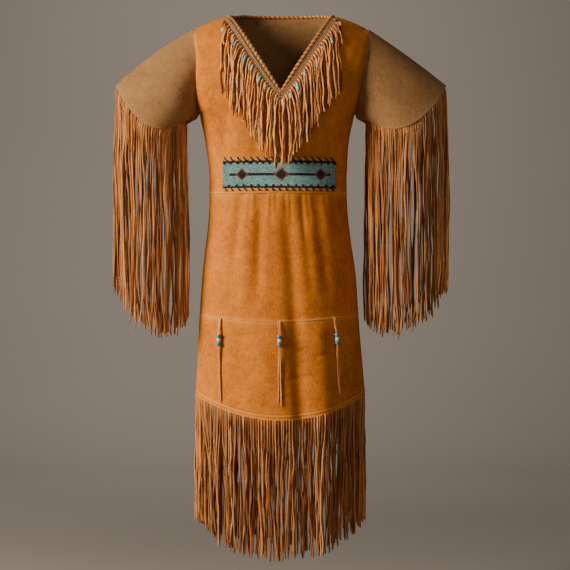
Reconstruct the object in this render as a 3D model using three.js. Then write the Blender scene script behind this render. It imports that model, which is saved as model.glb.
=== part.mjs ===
// A fringed suede dress, filled out as it is when worn, with nothing inside it.
// Millimetres, +Z up. The front faces -Y and the wearer's left is towards +X.
// The origin is midway between the two neck points, at the level where the shoulders carry the dress.
import * as THREE from "three";

// ---------- driving dimensions ----------
const wall = 1.6; // thickness of the suede
const seamGap = 0.3; // clearance between two pieces at a seam
const layGap = 0.8; // clearance under a piece that lies on a panel

const neckHalf = 129; // half width of the neck, cut edge to cut edge
const vLevel = -189; // lowest point of the V's cut edge
const backNeckRise = 7; // how far the back neck's cut edge lies above the neck points
const backNeckBow = 60; // how far the back neck stands out behind the neck points
// the rolled edge round the neck: its radius along the V, at the V's lowest point, at the neck points
// and at the back
const binding = { sides: 5.5, lowest: 4, corner: 4.8, back: 4.2 };

const shoulderHalf = 205; // half width at the shoulder tips
const shoulderDrop = 31; // the tips lie this far below the neck points
const shoulderDroop = 1.65; // how late the shoulder line turns down
const shoulderRound = 62; // height over which the shoulder rounds from the seam to the chest
const underarmLevel = -228;
const armholeHalfDepth = 62;

const waistLevel = -411;
const hipLevel = -715; // hip seam at the centre
const hipRise = 19; // and how much higher it is at the sides
const hemLevel = -945; // hem at the centre
const hemRise = 62; // and how much higher it is at the sides

const cuffCentre = new THREE.Vector3(297.5, 0, -201.5);
const cuffHalf = new THREE.Vector3(89.5, 0, 38.5); // from the cuff's centre to its upper corner
const cuffHalfDepth = 88;
const cuffDrop = 62; // the cuff hangs lower at its front and back
const cuffLean = -4; // the cuffs' lower corners lie this far to the wearer's right
const sleeveSwell = 9; // how far the sleeve bows out between the armhole and the cuff
const leftCrownSwell = 6; // the left sleeve's top fold runs straighter

const armholeColumns = 6; // on each side of the bodice, from the neck point to the armhole
const skirtColumns = 36;
const lowerColumns = 28;
const chestRows = 4; // waist to underarm
const armholeRows = 10; // underarm to shoulder
const skirtRows = 5;
const lowerRows = 4;
const sleeveRows = 6;

// level: height; half: half width at the side seam, or at the armhole above the underarm;
// lean: how far the middle lies towards the wearer's left, as the dress hangs a little to one side;
// front, back: how far the cloth stands out before and behind the side seam
const figure = [
  { level: 60, half: 205, lean: 0, front: 66, back: 70 },
  { level: -31, half: 205, lean: 0, front: 84, back: 86 },
  { level: -100, half: 197, lean: 0, front: 104, back: 97 },
  { level: -165, half: 191, lean: -4, front: 118, back: 99 },
  { level: -228, half: 182, lean: -5, front: 124, back: 99 },
  { level: -290, half: 169, lean: -6, front: 115, back: 94 },
  { level: -360, half: 162, lean: -4, front: 99, back: 87 },
  { level: -411, half: 161, lean: -3, front: 95, back: 88 },
  { level: -465, half: 163, lean: -3, front: 100, back: 96 },
  { level: -536, half: 171, lean: -3, front: 108, back: 110 },
  { level: -606, half: 180, lean: -3, front: 116, back: 121 },
  { level: -712, half: 187, lean: -3, front: 127, back: 132 },
  { level: -818, half: 194, lean: -2, front: 139, back: 142 },
  { level: -945, half: 203, lean: 0, front: 151, back: 152 },
];

// soft troughs. top, foot: where the trough runs, as a share of the half width; from, to: its levels
const frontTroughs = [
  { top: -0.8, foot: -0.86, from: -411, to: -560, depth: 2, width: 12 },
  { top: -0.55, foot: -0.6, from: -411, to: -620, depth: 3, width: 13 },
  { top: -0.25, foot: -0.28, from: -411, to: -700, depth: 2.6, width: 13 },
  { top: 0.04, foot: 0.06, from: -411, to: -735, depth: 5, width: 13 },
  { top: 0.24, foot: 0.26, from: -411, to: -640, depth: 3.6, width: 11 },
  { top: 0.55, foot: 0.62, from: -411, to: -690, depth: 4.2, width: 14 },
  { top: 0.8, foot: 0.83, from: -411, to: -600, depth: 2.4, width: 12 },
  { top: 0.2, foot: 0.24, from: -700, to: -930, depth: 3.5, width: 22 },
  { top: -0.45, foot: -0.5, from: -730, to: -920, depth: 2.5, width: 24 },
  { top: -0.66, foot: -0.78, from: -215, to: -350, depth: 3.5, width: 16 },
  { top: 0.66, foot: 0.76, from: -215, to: -350, depth: 3.5, width: 16 },
];
const backTroughs = [
  { top: -0.74, foot: -0.8, from: -411, to: -600, depth: 2.8, width: 12 },
  { top: -0.48, foot: -0.54, from: -411, to: -690, depth: 4, width: 13 },
  { top: -0.2, foot: -0.23, from: -411, to: -740, depth: 4.8, width: 13 },
  { top: 0.07, foot: 0.06, from: -411, to: -650, depth: 3.4, width: 11 },
  { top: 0.32, foot: 0.36, from: -411, to: -725, depth: 4.6, width: 13 },
  { top: 0.58, foot: 0.65, from: -411, to: -620, depth: 3, width: 13 },
  { top: 0.82, foot: 0.86, from: -411, to: -560, depth: 2.2, width: 11 },
  { top: -0.3, foot: -0.34, from: -720, to: -930, depth: 3.5, width: 22 },
  { top: 0.42, foot: 0.45, from: -720, to: -925, depth: 2.8, width: 24 },
  { top: 0, foot: 0, from: -90, to: -380, depth: 3.5, width: 20 },
];

// ---------- finishes ----------
function finish(color, roughness) {
  return new THREE.MeshStandardMaterial({ color, roughness, metalness: 0 });
}
const cognacSuede = finish("#d6853f", 0.9);
const tanSuede = finish("#a8784a", 0.95);
const fringeSuede = finish("#b06c36", 0.9);
const laceSuede = finish("#dca466", 0.85);
const beadwork = finish("#7fb0a8", 0.5);
const turquoise = finish("#2f8ea0", 0.35);

const dress = new THREE.Group();
dress.name = "fringed_suede_dress";
function add(name, geometry, material) {
  const mesh = new THREE.Mesh(geometry, material);
  mesh.name = name;
  dress.add(mesh);
}

// ---------- small helpers ----------
const xAxis = new THREE.Vector3(1, 0, 0);
const yAxis = new THREE.Vector3(0, 1, 0);
const zAxis = new THREE.Vector3(0, 0, 1);
const down = new THREE.Vector3(0, 0, -1);
const degrees = Math.PI / 180;
const { clamp, lerp, smoothstep } = THREE.MathUtils;

const range = (count) => Array.from({ length: count }, (_, n) => n);

// a repeatable scatter between -1 and 1
function scatter(seed) {
  const wave = Math.sin(seed * 12.9898 + 4.1) * 43758.5453;
  return 2 * (wave - Math.floor(wave)) - 1;
}

// a smooth curve through one column of the figure table
function figureAt(level, column) {
  const last = figure.length - 1;
  const next = figure.findIndex((row) => row.level <= level);
  const b = clamp(next < 0 ? last : next, 1, last);
  const rows = [Math.max(b - 2, 0), b - 1, b, Math.min(b + 1, last)].map((n) => figure[n]);
  const [before, start, end, after] = rows;
  const span = end.level - start.level;
  const share = clamp((level - start.level) / span, 0, 1);
  const slope = (low, high) => (high[column] - low[column]) / (high.level - low.level || 1);
  const startSlope = before === start ? slope(start, end) : slope(before, end);
  const endSlope = after === end ? slope(start, end) : slope(start, after);
  const square = share * share;
  const cube = square * share;
  return (
    (2 * cube - 3 * square + 1) * start[column] +
    (cube - 2 * square + share) * span * startSlope +
    (3 * square - 2 * cube) * end[column] +
    (cube - square) * span * endSlope
  );
}

// ---------- the dress's surface ----------
function shoulderLine(x, side) {
  const past = (Math.abs(x) - neckHalf) / (shoulderHalf - neckHalf);
  if (past >= 0) return -shoulderDrop * Math.min(past, 1) ** shoulderDroop;
  return side > 0 ? backNeckBow * (1 - (x / neckHalf) ** 2) : 0;
}

function armholeDepth(level) {
  const middle = (underarmLevel - shoulderDrop) / 2;
  const half = (-shoulderDrop - underarmLevel) / 2;
  const share = (level - middle) / half;
  return Math.abs(share) < 1 ? armholeHalfDepth * Math.sqrt(1 - share * share) : 0;
}

function troughDepth(side, share, level) {
  let depth = 0;
  for (const fold of side < 0 ? frontTroughs : backTroughs) {
    const run = (fold.from - level) / (fold.from - fold.to);
    if (run < 0 || run > 1) continue;
    const gathered = fold.from === waistLevel ? 0.5 : 0;
    const fade = smoothstep(run + gathered * 0.12, 0, 0.12) * (1 - smoothstep(run, 0.55, 1));
    const away = ((share - lerp(fold.top, fold.foot, run)) * figureAt(level, "half")) / fold.width;
    depth += fold.depth * fade * Math.exp(-away * away);
  }
  return depth;
}

// across the dress, from a turn round it and back
const acrossAt = (turn, level) => figureAt(level, "lean") + figureAt(level, "half") * Math.sin(turn);
const turnAt = (x, level) =>
  Math.asin(clamp((x - figureAt(level, "lean")) / figureAt(level, "half"), -0.995, 0.995));

// the level way out from the dress's middle
function wayOut(side, turn, level) {
  const half = figureAt(level, "half");
  const depth = figureAt(level, side < 0 ? "front" : "back");
  return new THREE.Vector3(Math.sin(turn) / half, (side * Math.cos(turn)) / depth, 0).normalize();
}

// side is -1 on the front and 1 on the back; turn is 0 at the centre and +-90 degrees at the side seams
function bodyPoint(side, turn, level) {
  const depth = figureAt(level, side < 0 ? "front" : "back");
  const x = acrossAt(turn, level);
  const rounding = clamp((shoulderLine(x, side) - level) / shoulderRound, 0, 1);
  const fullDepth = depth * Math.sqrt(1 - (1 - rounding) ** 2);
  const edge = armholeDepth(level);
  const y = side * (edge + (fullDepth - edge) * Math.cos(turn) ** 0.9);
  const trough = troughDepth(side, Math.sin(turn), level);
  return new THREE.Vector3(x, y, level).addScaledVector(wayOut(side, turn, level), -trough);
}

function bodyNormal(side, turn, level) {
  const step = 0.01;
  const rise = 2;
  const across = bodyPoint(side, turn + step, level).sub(bodyPoint(side, turn - step, level));
  const along = bodyPoint(side, turn, level + rise).sub(bodyPoint(side, turn, level - rise));
  return across.cross(along).multiplyScalar(-side).normalize();
}

const hipAt = (turn) => hipLevel + hipRise * Math.sin(turn) ** 2;
const hemAt = (turn) => hemLevel + hemRise * Math.sin(turn) ** 2;

function neckEdge(side, x) {
  if (Math.abs(x) >= neckHalf) return shoulderLine(x, side);
  const inward = 1 - Math.abs(x) / neckHalf;
  return side < 0 ? vLevel * inward : backNeckRise * smoothstep(inward, 0, 0.3);
}

// the level at which a column of the bodice meets the neck edge or the shoulder seam
function topOf(side, turn) {
  let low = underarmLevel;
  let high = 20;
  for (let n = 0; n < 40; n += 1) {
    const middle = (low + high) / 2;
    if (middle < neckEdge(side, acrossAt(turn, middle))) low = middle;
    else high = middle;
  }
  return low;
}

// ---------- meshes ----------
// Turns lists of points and quads into one closed body with its faces pointing out.
function closedBody(points, quads) {
  const index = quads.flatMap(([a, b, c, d]) => (d === undefined ? [a, b, c] : [a, b, c, a, c, d]));
  let volume = 0;
  for (let n = 0; n < index.length; n += 3) {
    const [a, b, c] = [points[index[n]], points[index[n + 1]], points[index[n + 2]]];
    volume += a.dot(b.clone().cross(c));
  }
  const geometry = new THREE.BufferGeometry().setFromPoints(points);
  geometry.setIndex(volume > 0 ? index : index.reverse());
  geometry.computeVertexNormals();
  return geometry;
}

// A wall between an outer and an inner grid of points, both [row][column]. A closed wall joins its last
// column to its first.
function wallBetween(outer, inner, closed = false) {
  const rows = outer.length;
  const columns = outer[0].length;
  const points = [...outer.flat(), ...inner.flat()];
  const out = (row, column) => row * columns + (column % columns);
  const back = (row, column) => rows * columns + out(row, column);
  const quads = [];
  const spans = closed ? columns : columns - 1;
  for (let j = 0; j < spans; j += 1) {
    for (let i = 0; i < rows - 1; i += 1) {
      quads.push([out(i, j), out(i, j + 1), out(i + 1, j + 1), out(i + 1, j)]);
      quads.push([back(i, j + 1), back(i, j), back(i + 1, j), back(i + 1, j + 1)]);
    }
    quads.push([back(0, j), back(0, j + 1), out(0, j + 1), out(0, j)]);
    quads.push([out(rows - 1, j), out(rows - 1, j + 1), back(rows - 1, j + 1), back(rows - 1, j)]);
  }
  for (let i = 0; i < rows - 1 && !closed; i += 1) {
    quads.push([back(i, 0), out(i, 0), out(i + 1, 0), back(i + 1, 0)]);
    quads.push([out(i, spans), back(i, spans), back(i + 1, spans), out(i + 1, spans)]);
  }
  return closedBody(points, quads);
}

// The inner grid of a wall. At a seam, flat gives the axes that its thickness must not lean along, so
// that neighbouring pieces stay apart.
function insideOf(outer, closed, flat, thickness = wall) {
  const rows = outer.length;
  const columns = outer[0].length;
  const column = (j) => (closed ? (j + columns) % columns : clamp(j, 0, columns - 1));
  const at = (i, j) => outer[clamp(i, 0, rows - 1)][column(j)];
  return outer.map((line, i) =>
    line.map((point, j) => {
      const across = at(i, j + 1).clone().sub(at(i, j - 1));
      const along = at(i + 1, j).clone().sub(at(i - 1, j));
      const normal = across.cross(along).normalize();
      for (const axis of flat(i, j)) normal.addScaledVector(axis, -normal.dot(axis));
      return point.clone().addScaledVector(normal.normalize(), -thickness);
    }),
  );
}

// ---------- bodice, skirt and lower skirt ----------
// Columns run round the dress as seen from above: left to right on the front, right to left on the back.
const ordered = (side, turns) => (side < 0 ? turns : [...turns].reverse());

const evenTurns = (side, columns) =>
  ordered(side, range(columns + 1).map((n) => lerp(-90, 90, n / columns) * degrees));

// The bodice has close columns by the neck point, where the edge turns from the V up to the shoulder.
const neckTurn = Math.asin(neckHalf / figureAt(0, "half"));
const turnsInsideNeck = [0, 8, 16, 24.5, 28.3, 31.9, 34.7, 36.5].map((turn) => turn * degrees);

function bodiceTurns(side) {
  const outside = range(armholeColumns + 1).map((n) => lerp(neckTurn, Math.PI / 2, n / armholeColumns));
  const half = [...turnsInsideNeck, ...outside];
  return ordered(side, [...half.slice(1).reverse().map((turn) => -turn), ...half]);
}

// Each half of the dress stands half a seam gap clear of the side and shoulder seams.
function bodyGrid(side, turns, levelsOf) {
  const columns = turns.map((turn) => levelsOf(turn).map((level) => bodyPoint(side, turn, level)));
  const rows = columns[0].length;
  return range(rows).map((i) =>
    columns.map((column) => column[i].clone().addScaledVector(yAxis, (side * seamGap) / 2)),
  );
}

function bodice(side) {
  const turns = bodiceTurns(side);
  const chest = range(chestRows).map((n) => lerp(waistLevel + seamGap / 2, underarmLevel, n / chestRows));
  const levels = (turn) => {
    const atArmhole = Math.abs(turn) > 89.9 * degrees;
    const top = atArmhole ? -shoulderDrop : topOf(side, turn);
    const outward = smoothstep(Math.abs(turn), 50 * degrees, 90 * degrees);
    const upper = range(armholeRows + 1).map((n) => {
      const middle = Math.sin((Math.PI * n) / armholeRows / 2); // close rows at the shoulder
      const edge = (1 - Math.cos((Math.PI * n) / armholeRows)) / 2; // the sleeve's own steps
      return lerp(underarmLevel, top, lerp(middle, edge, outward));
    });
    return [...chest, ...upper];
  };
  const top = chestRows + armholeRows;
  const flat = (i, j) => {
    const axes = [];
    const atSide = j === 0 || j === turns.length - 1;
    if (i === 0) axes.push(zAxis);
    if (atSide && i <= chestRows) axes.push(yAxis);
    if (atSide && i > chestRows) axes.push(xAxis);
    if (i === top && Math.abs(turns[j]) > neckTurn - 1e-6) axes.push(yAxis);
    return axes;
  };
  return { grid: bodyGrid(side, turns, levels), flat };
}

function skirtPanel(side, columns, rows, topLevel, footLevel) {
  const turns = evenTurns(side, columns);
  const levels = (turn) =>
    range(rows + 1).map((n) => lerp(footLevel(turn), topLevel(turn), n / rows));
  const flat = (i, j) => {
    const axes = [];
    if (i === 0 || i === rows) axes.push(zAxis);
    if (j === 0 || j === columns) axes.push(yAxis);
    return axes;
  };
  return { grid: bodyGrid(side, turns, levels), flat };
}

const upperSkirt = (side) =>
  skirtPanel(
    side,
    skirtColumns,
    skirtRows,
    () => waistLevel - seamGap / 2,
    (turn) => hipAt(turn) + seamGap / 2,
  );
const lowerSkirt = (side) =>
  skirtPanel(side, lowerColumns, lowerRows, (turn) => hipAt(turn) - seamGap / 2, hemAt);

const frontGrids = [];
for (const [place, side] of [["front", -1], ["back", 1]]) {
  const pieces = { bodice: bodice(side), skirt: upperSkirt(side), skirt_lower: lowerSkirt(side) };
  for (const [name, { grid, flat }] of Object.entries(pieces)) {
    add(`${name}_${place}`, wallBetween(grid, insideOf(grid, false, flat)), cognacSuede);
    if (side < 0) frontGrids.push(grid);
  }
}

// Where a level line towards the wearer meets the front's facets, and the way out there.
function frontAt(x, level) {
  const turn = turnAt(x, level);
  const found = { point: bodyPoint(-1, turn, level), normal: bodyNormal(-1, turn, level) };
  for (const grid of frontGrids) {
    for (let i = 0; i < grid.length - 1; i += 1) {
      for (let j = 0; j < grid[0].length - 1; j += 1) {
        const [near, right, far, left] = [grid[i][j], grid[i][j + 1], grid[i + 1][j + 1], grid[i + 1][j]];
        for (const [a, b, c] of [[near, right, far], [near, far, left]]) {
          const area = (b.x - a.x) * (c.z - a.z) - (b.z - a.z) * (c.x - a.x);
          const v = ((x - a.x) * (c.z - a.z) - (level - a.z) * (c.x - a.x)) / area;
          const w = ((b.x - a.x) * (level - a.z) - (b.z - a.z) * (x - a.x)) / area;
          if (v < -1e-6 || w < -1e-6 || v + w > 1 + 1e-6) continue;
          found.point = new THREE.Vector3(x, a.y + v * (b.y - a.y) + w * (c.y - a.y), level);
          return found;
        }
      }
    }
  }
  return found;
}

// ---------- sleeves ----------
// hand is 1 on the wearer's left and -1 on the right. Round the sleeve, turn is 0 at the top fold, 90
// degrees at the front, 180 at the underarm and 270 at the back.
function sleevePoint(hand, turn, share) {
  const middle = (underarmLevel - shoulderDrop) / 2;
  const level = middle - ((shoulderDrop + underarmLevel) / 2) * Math.cos(turn);
  const start = new THREE.Vector3(
    figureAt(level, "half") + hand * figureAt(level, "lean") + seamGap,
    -armholeHalfDepth * Math.sin(turn),
    level,
  );
  const end = cuffPoint(hand, turn);
  const outward = new THREE.Vector3(0.58 * Math.cos(turn), -Math.sin(turn), 0.81 * Math.cos(turn));
  const point = start.lerp(end, share);
  const crown = hand > 0 ? leftCrownSwell : sleeveSwell;
  const swell = lerp(sleeveSwell, crown, Math.max(Math.cos(turn), 0));
  point.addScaledVector(outward, swell * Math.sin(Math.PI * share));
  point.x *= hand;
  return point;
}

function cuffPoint(hand, turn) {
  const side = Math.sin(turn);
  return cuffCentre
    .clone()
    .addScaledVector(cuffHalf, Math.cos(turn))
    .addScaledVector(xAxis, (hand * cuffLean * (1 - Math.cos(turn))) / 2)
    .addScaledVector(yAxis, -cuffHalfDepth * side)
    .addScaledVector(zAxis, -cuffDrop * side * side);
}

const sleeveColumns = 2 * armholeRows;

function sleeveGrid(hand) {
  const turns = range(sleeveColumns).map((j) => (hand * 2 * Math.PI * j) / sleeveColumns);
  return range(sleeveRows + 1).map((i) => turns.map((turn) => sleevePoint(hand, turn, i / sleeveRows)));
}

function sleeve(grid) {
  const inner = insideOf(grid, true, (i) => (i === 0 ? [xAxis] : []), -wall);
  return wallBetween(grid, inner, true);
}

// the cuff's edge and the way on from it, at a share of the way round the sleeve's facets
function cuffEdge(grid, share) {
  const place = share * sleeveColumns;
  const a = Math.floor(place) % sleeveColumns;
  const b = (a + 1) % sleeveColumns;
  const row = (i) => grid[i][a].clone().lerp(grid[i][b], place - Math.floor(place));
  const point = row(sleeveRows);
  return { point, along: point.clone().sub(row(sleeveRows - 1)).normalize() };
}

// ---------- fringe ----------
// A comb of strands hanging from a strip. edges lists the strip's upright edges in order, each with its
// outer top and bottom point and the way out at each; every second space between edges carries a strand.
// ringOf(strand, corners, n) gives the strand's four corners at its nth ring below the strip.
function comb({ edges, closed, rings, ringOf, thickness }) {
  const points = [];
  const quads = [];
  const keep = (point) => points.push(point) - 1;
  const kept = edges.map(({ top, bottom, outTop, outBottom }) => ({
    top: keep(top),
    bottom: keep(bottom),
    backTop: keep(top.clone().addScaledVector(outTop, -thickness)),
    backBottom: keep(bottom.clone().addScaledVector(outBottom, -thickness)),
  }));
  const spaces = closed ? edges.length : edges.length - 1;
  const firstStrand = closed ? 0 : 1;
  for (let n = 0; n < spaces; n += 1) {
    const a = kept[n];
    const b = kept[(n + 1) % edges.length];
    quads.push([a.bottom, b.bottom, b.top, a.top]);
    quads.push([b.backBottom, a.backBottom, a.backTop, b.backTop]);
    quads.push([a.top, b.top, b.backTop, a.backTop]);
    if (n % 2 !== firstStrand) {
      quads.push([a.backBottom, b.backBottom, b.bottom, a.bottom]);
      continue;
    }
    const strand = (n - firstStrand) / 2;
    let ring = [a.bottom, b.bottom, b.backBottom, a.backBottom];
    const root = ring.map((corner) => points[corner]);
    for (let r = 1; r <= rings; r += 1) {
      const next = ringOf(strand, root, r).map(keep);
      for (let side = 0; side < 4; side += 1) {
        const turn = (side + 1) % 4;
        quads.push([ring[turn], ring[side], next[side], next[turn]]);
      }
      ring = next;
    }
    quads.push([ring[0], ring[3], ring[2], ring[1]]);
  }
  if (!closed) {
    const a = kept[0];
    const b = kept[edges.length - 1];
    quads.push([a.backBottom, a.bottom, a.top, a.backTop]);
    quads.push([b.bottom, b.backBottom, b.backTop, b.top]);
  }
  return closedBody(points, quads);
}

// Below a bulge of the front, a strand hangs plumb: the farthest out that the front stands between the
// two levels.
function plumbAt(x, root, level) {
  const steps = range(9).map((n) => frontAt(x, lerp(root, level, n / 8)));
  return Math.min(...steps.map(({ point }) => point.y));
}

// the places of a comb's upright edges along its strip, from 0 to 1
function combPlaces(strands, share, closed) {
  const places = range(strands).flatMap((n) => [
    (n + 0.5 - share / 2) / strands,
    (n + 0.5 + share / 2) / strands,
  ]);
  return closed ? places : [0, ...places, 1];
}

// the four corners of a strand's ring, as wide as given, turned to lie along the strip
function strandRing(root, centre, width, thickness) {
  const across = root[1].clone().sub(root[0]).setZ(0).normalize();
  const out = root[0].clone().sub(root[3]).setZ(0);
  out.addScaledVector(across, -out.dot(across)).normalize();
  const corner = (a, b) =>
    centre.clone().addScaledVector(across, (a * width) / 2).addScaledVector(out, (b * thickness) / 2);
  return [corner(-1, 1), corner(1, 1), corner(1, -1), corner(-1, -1)];
}

const middleOf = (corners) =>
  corners.reduce((sum, corner) => sum.add(corner), new THREE.Vector3()).divideScalar(corners.length);

// hem
const hemStrands = 38; // on the front, and as many on the back
const hemStrip = 8;
const hemStrandLength = 322; // at the centre
const hemStrandShorter = 36; // at the sides
const strandWidth = 5.2;
const strandThickness = 1.8;
const strandShare = 0.46; // of the strip's length that carries strands

function hemFringe(side) {
  const edges = combPlaces(hemStrands, strandShare, false).map((place) => {
    const turn = -side * lerp(-89.6, 89.6, place) * degrees;
    const level = hemAt(turn);
    const foot = bodyPoint(side, turn, level).addScaledVector(yAxis, (side * seamGap) / 2);
    const out = wayOut(side, turn, level);
    return {
      top: foot.clone().addScaledVector(down, seamGap),
      bottom: foot.clone().addScaledVector(down, hemStrip),
      outTop: out,
      outBottom: out,
      turn,
    };
  });
  const rings = 2;
  const ringOf = (strand, root, n) => {
    const seed = strand + (side < 0 ? 0 : 300);
    const turn = edges[2 * strand + 1].turn;
    const length = hemStrandLength - hemStrandShorter * Math.sin(turn) ** 4 + 9 * scatter(seed);
    const share = [0, 0.5, 1][n];
    const across = root[1].clone().sub(root[0]).normalize();
    const out = root[0].clone().sub(root[3]).normalize();
    const centre = middleOf(root)
      .addScaledVector(down, length * share)
      .addScaledVector(across, 2.2 * scatter(seed * 3.1 + n))
      .addScaledVector(out, 2.5 * scatter(seed * 5.7 + n));
    return strandRing(root, centre, strandWidth, strandThickness);
  };
  return comb({ edges, closed: false, rings, ringOf, thickness: wall });
}

// sleeves
const cuffStrands = 32;
const cuffStrip = 9;
const cuffStrandLength = 470;

function cuffFringe(hand, grid) {
  const edges = combPlaces(cuffStrands, strandShare, true).map((place) => {
    const turn = hand * 2 * Math.PI * place;
    const { point, along } = cuffEdge(grid, place);
    const out = new THREE.Vector3(
      (hand * Math.cos(turn)) / cuffHalf.x,
      -Math.sin(turn) / cuffHalfDepth,
      0,
    ).normalize();
    const outTop = out.clone().addScaledVector(along, -out.dot(along)).normalize();
    const fall = along.clone().multiplyScalar(0.5).add(down).normalize();
    const top = point.addScaledVector(along, seamGap);
    return { top, bottom: top.clone().addScaledVector(fall, cuffStrip), outTop, outBottom: out };
  });
  const rings = 3;
  const ringOf = (strand, root, n) => {
    const seed = strand + (hand > 0 ? 600 : 700);
    const share = [0, 0.09, 0.55, 1][n];
    const length = cuffStrandLength + 10 * scatter(seed);
    const loose = n > 1 ? 1 : 0;
    const across = root[1].clone().sub(root[0]).normalize();
    const out = root[0].clone().sub(root[3]).normalize();
    const centre = middleOf(root)
      .addScaledVector(down, length * share)
      .addScaledVector(across, loose * 3.5 * scatter(seed * 3.1 + n))
      .addScaledVector(out, loose * 4 * scatter(seed * 5.7 + n));
    return strandRing(root, centre, strandWidth, strandThickness);
  };
  return comb({ edges, closed: true, rings, ringOf, thickness: wall });
}

for (const [place, hand] of [["left", 1], ["right", -1]]) {
  const grid = sleeveGrid(hand);
  add(`sleeve_${place}`, sleeve(grid), tanSuede);
  add(`sleeve_fringe_${place}`, cuffFringe(hand, grid), fringeSuede);
}
for (const [place, side] of [["front", -1], ["back", 1]]) {
  add(`hem_fringe_${place}`, hemFringe(side), fringeSuede);
}

// ---------- neck ----------
const vLength = Math.hypot(neckHalf, vLevel);
const vAlong = { x: neckHalf / vLength, z: -vLevel / vLength }; // up the V's edge
const vAway = { x: vAlong.z, z: -vAlong.x }; // away from the V's edge, across the bodice

// a place on the bodice beside the V: along from its lowest point, away from its cut edge. Where it would
// cross the centre line, it stops there.
function besideV(hand, along, away) {
  const centreStop = (seamGap / 2 - vAway.x * away) / vAlong.x;
  const run = Math.max(along, centreStop);
  const x = hand * (vAlong.x * run + vAway.x * away);
  return { x, level: vLevel + vAlong.z * run + vAway.z * away };
}

// The band's width at the V's lowest point and from bandTaper up; its strip of fringe lies beside it.
const bandWidth = { lowest: 5, full: 10 };
const bandTaper = 70;
const stripWidth = 6;
const bandFrom = 0.6; // from the cut edge
const bandTo = (along) =>
  bandFrom + lerp(bandWidth.lowest, bandWidth.full, smoothstep(along, 0, bandTaper));
const neckReach = vLength - 9; // how far up the V the band and the fringe run
const centreStart = -vAway.x / vAlong.x; // along per away, on the centre line
const neckBandSteps = 18;

// Where the front rounds to the shoulder, what lies on it needs more room under it.
const roomUnder = (level) => layGap + 0.9 * smoothstep(level, -80, -45);

// a strip lying on the front
function stripOnFront(places, thickness) {
  const lay = (lift) =>
    places.map((row) =>
      row.map(({ x, level }) => {
        const { point, normal } = frontAt(x, level);
        return point.addScaledVector(normal, roomUnder(level) + lift);
      }),
    );
  return wallBetween(lay(thickness), lay(0));
}

// Its steps are closer where the front rounds to the shoulder.
function vBand(hand) {
  const places = [0, 0.5, 1].map((width) =>
    range(neckBandSteps + 1).map((n) => {
      const share = 1 - (1 - n / neckBandSteps) ** 1.7;
      const away = lerp(bandFrom, bandTo(neckReach * share), width);
      return besideV(hand, lerp(centreStart * away, neckReach, share), away);
    }),
  );
  return stripOnFront(places, wall);
}

const neckStrands = 18; // on each side
const neckStrandLength = 148;

function vFringe(hand) {
  const edges = combPlaces(neckStrands, strandShare, false).map((place) => {
    const nearest = bandTo(neckReach * place) + 2 * seamGap;
    const corner = (away) => {
      const { x, level } = besideV(hand, lerp(centreStart * away, neckReach - 6, place), away);
      const { point, normal } = frontAt(x, level);
      point.addScaledVector(normal, roomUnder(level) + wall);
      return { point, normal };
    };
    const upper = corner(nearest);
    const lower = corner(nearest + stripWidth);
    return { top: upper.point, bottom: lower.point, outTop: upper.normal, outBottom: lower.normal };
  });
  const shares = [0, 0.14, 0.4, 0.7, 1];
  const ringOf = (strand, root, n) => {
    const seed = strand + (hand > 0 ? 800 : 900);
    const share = shares[n];
    const length = neckStrandLength + 7 * scatter(seed);
    const foot = middleOf(root);
    const spread = hand * 12 * (strand / neckStrands) ** 2 * share;
    const x = foot.x + spread + 1.2 * scatter(seed * 3.1 + n) * share;
    const { point, normal } = frontAt(x, foot.z - length * share);
    point.setY(plumbAt(x, foot.z, point.z));
    point.addScaledVector(normal, [0, 5, 4, 3.2, 3.2][n] + 0.5 * scatter(seed * 5.7 + n));
    const across = xAxis.clone().addScaledVector(normal, -normal.x).normalize();
    const way = Math.sign(root[1].x - root[0].x);
    const corner = (a, b) =>
      point
        .clone()
        .addScaledVector(across, (way * a * (strandWidth - 1)) / 2)
        .addScaledVector(normal, (b * wall) / 2);
    return [corner(-1, 1), corner(1, 1), corner(1, -1), corner(-1, -1)];
  };
  return comb({ edges, closed: false, rings: shares.length - 1, ringOf, thickness: wall });
}

for (const [place, hand] of [["left", 1], ["right", -1]]) {
  add(`neck_band_${place}`, vBand(hand), laceSuede);
  add(`neck_fringe_${place}`, vFringe(hand), fringeSuede);
}

// The rolled binding follows the neck's cut edge. It is clear of it by two seam gaps, as its facets cut
// across the neck's corners.
const bindingSides = 6;

function neckLoop() {
  const edgeOf = (side) =>
    bodiceTurns(side)
      .filter((turn) => Math.abs(turn) < neckTurn + 1e-6)
      .map((turn) => {
        const level = topOf(side, turn);
        const point = bodyPoint(side, turn, level);
        const normal = Math.abs(turn) > neckTurn - 1e-6 ? zAxis.clone() : bodyNormal(side, turn, level);
        const along = lerp(binding.lowest, binding.sides, smoothstep(level, vLevel + 5, vLevel + 60));
        const front = lerp(along, binding.corner, smoothstep(level, -20, 0));
        return { point, normal, radius: side < 0 ? front : binding.back };
      });
  return [...edgeOf(-1), ...edgeOf(1).slice(1, -1)];
}

// the binding's middle line, with its radius and the way away from the neck's cut edge at each place
function bindingLine() {
  const loop = neckLoop();
  return loop.map(({ point, normal, radius }, n) => {
    const clear = radius + 2 * seamGap;
    const before = loop[(n + loop.length - 1) % loop.length].point;
    const after = loop[(n + 1) % loop.length].point;
    const away = normal.clone().cross(after.clone().sub(before).normalize());
    if (away.dot(point.clone().setZ(0)) > 0 && Math.abs(away.z) < 0.9) away.negate();
    if (away.z < -0.9) away.negate();
    const atPoint = point.z < vLevel + 1; // the V's lowest point, where two edges meet
    const moved = atPoint ? clear / vAlong.x : clear;
    away.normalize();
    const middle = point.clone().addScaledVector(normal, -wall / 2).addScaledVector(away, moved);
    return { point: middle, away, normal, radius };
  });
}

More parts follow.
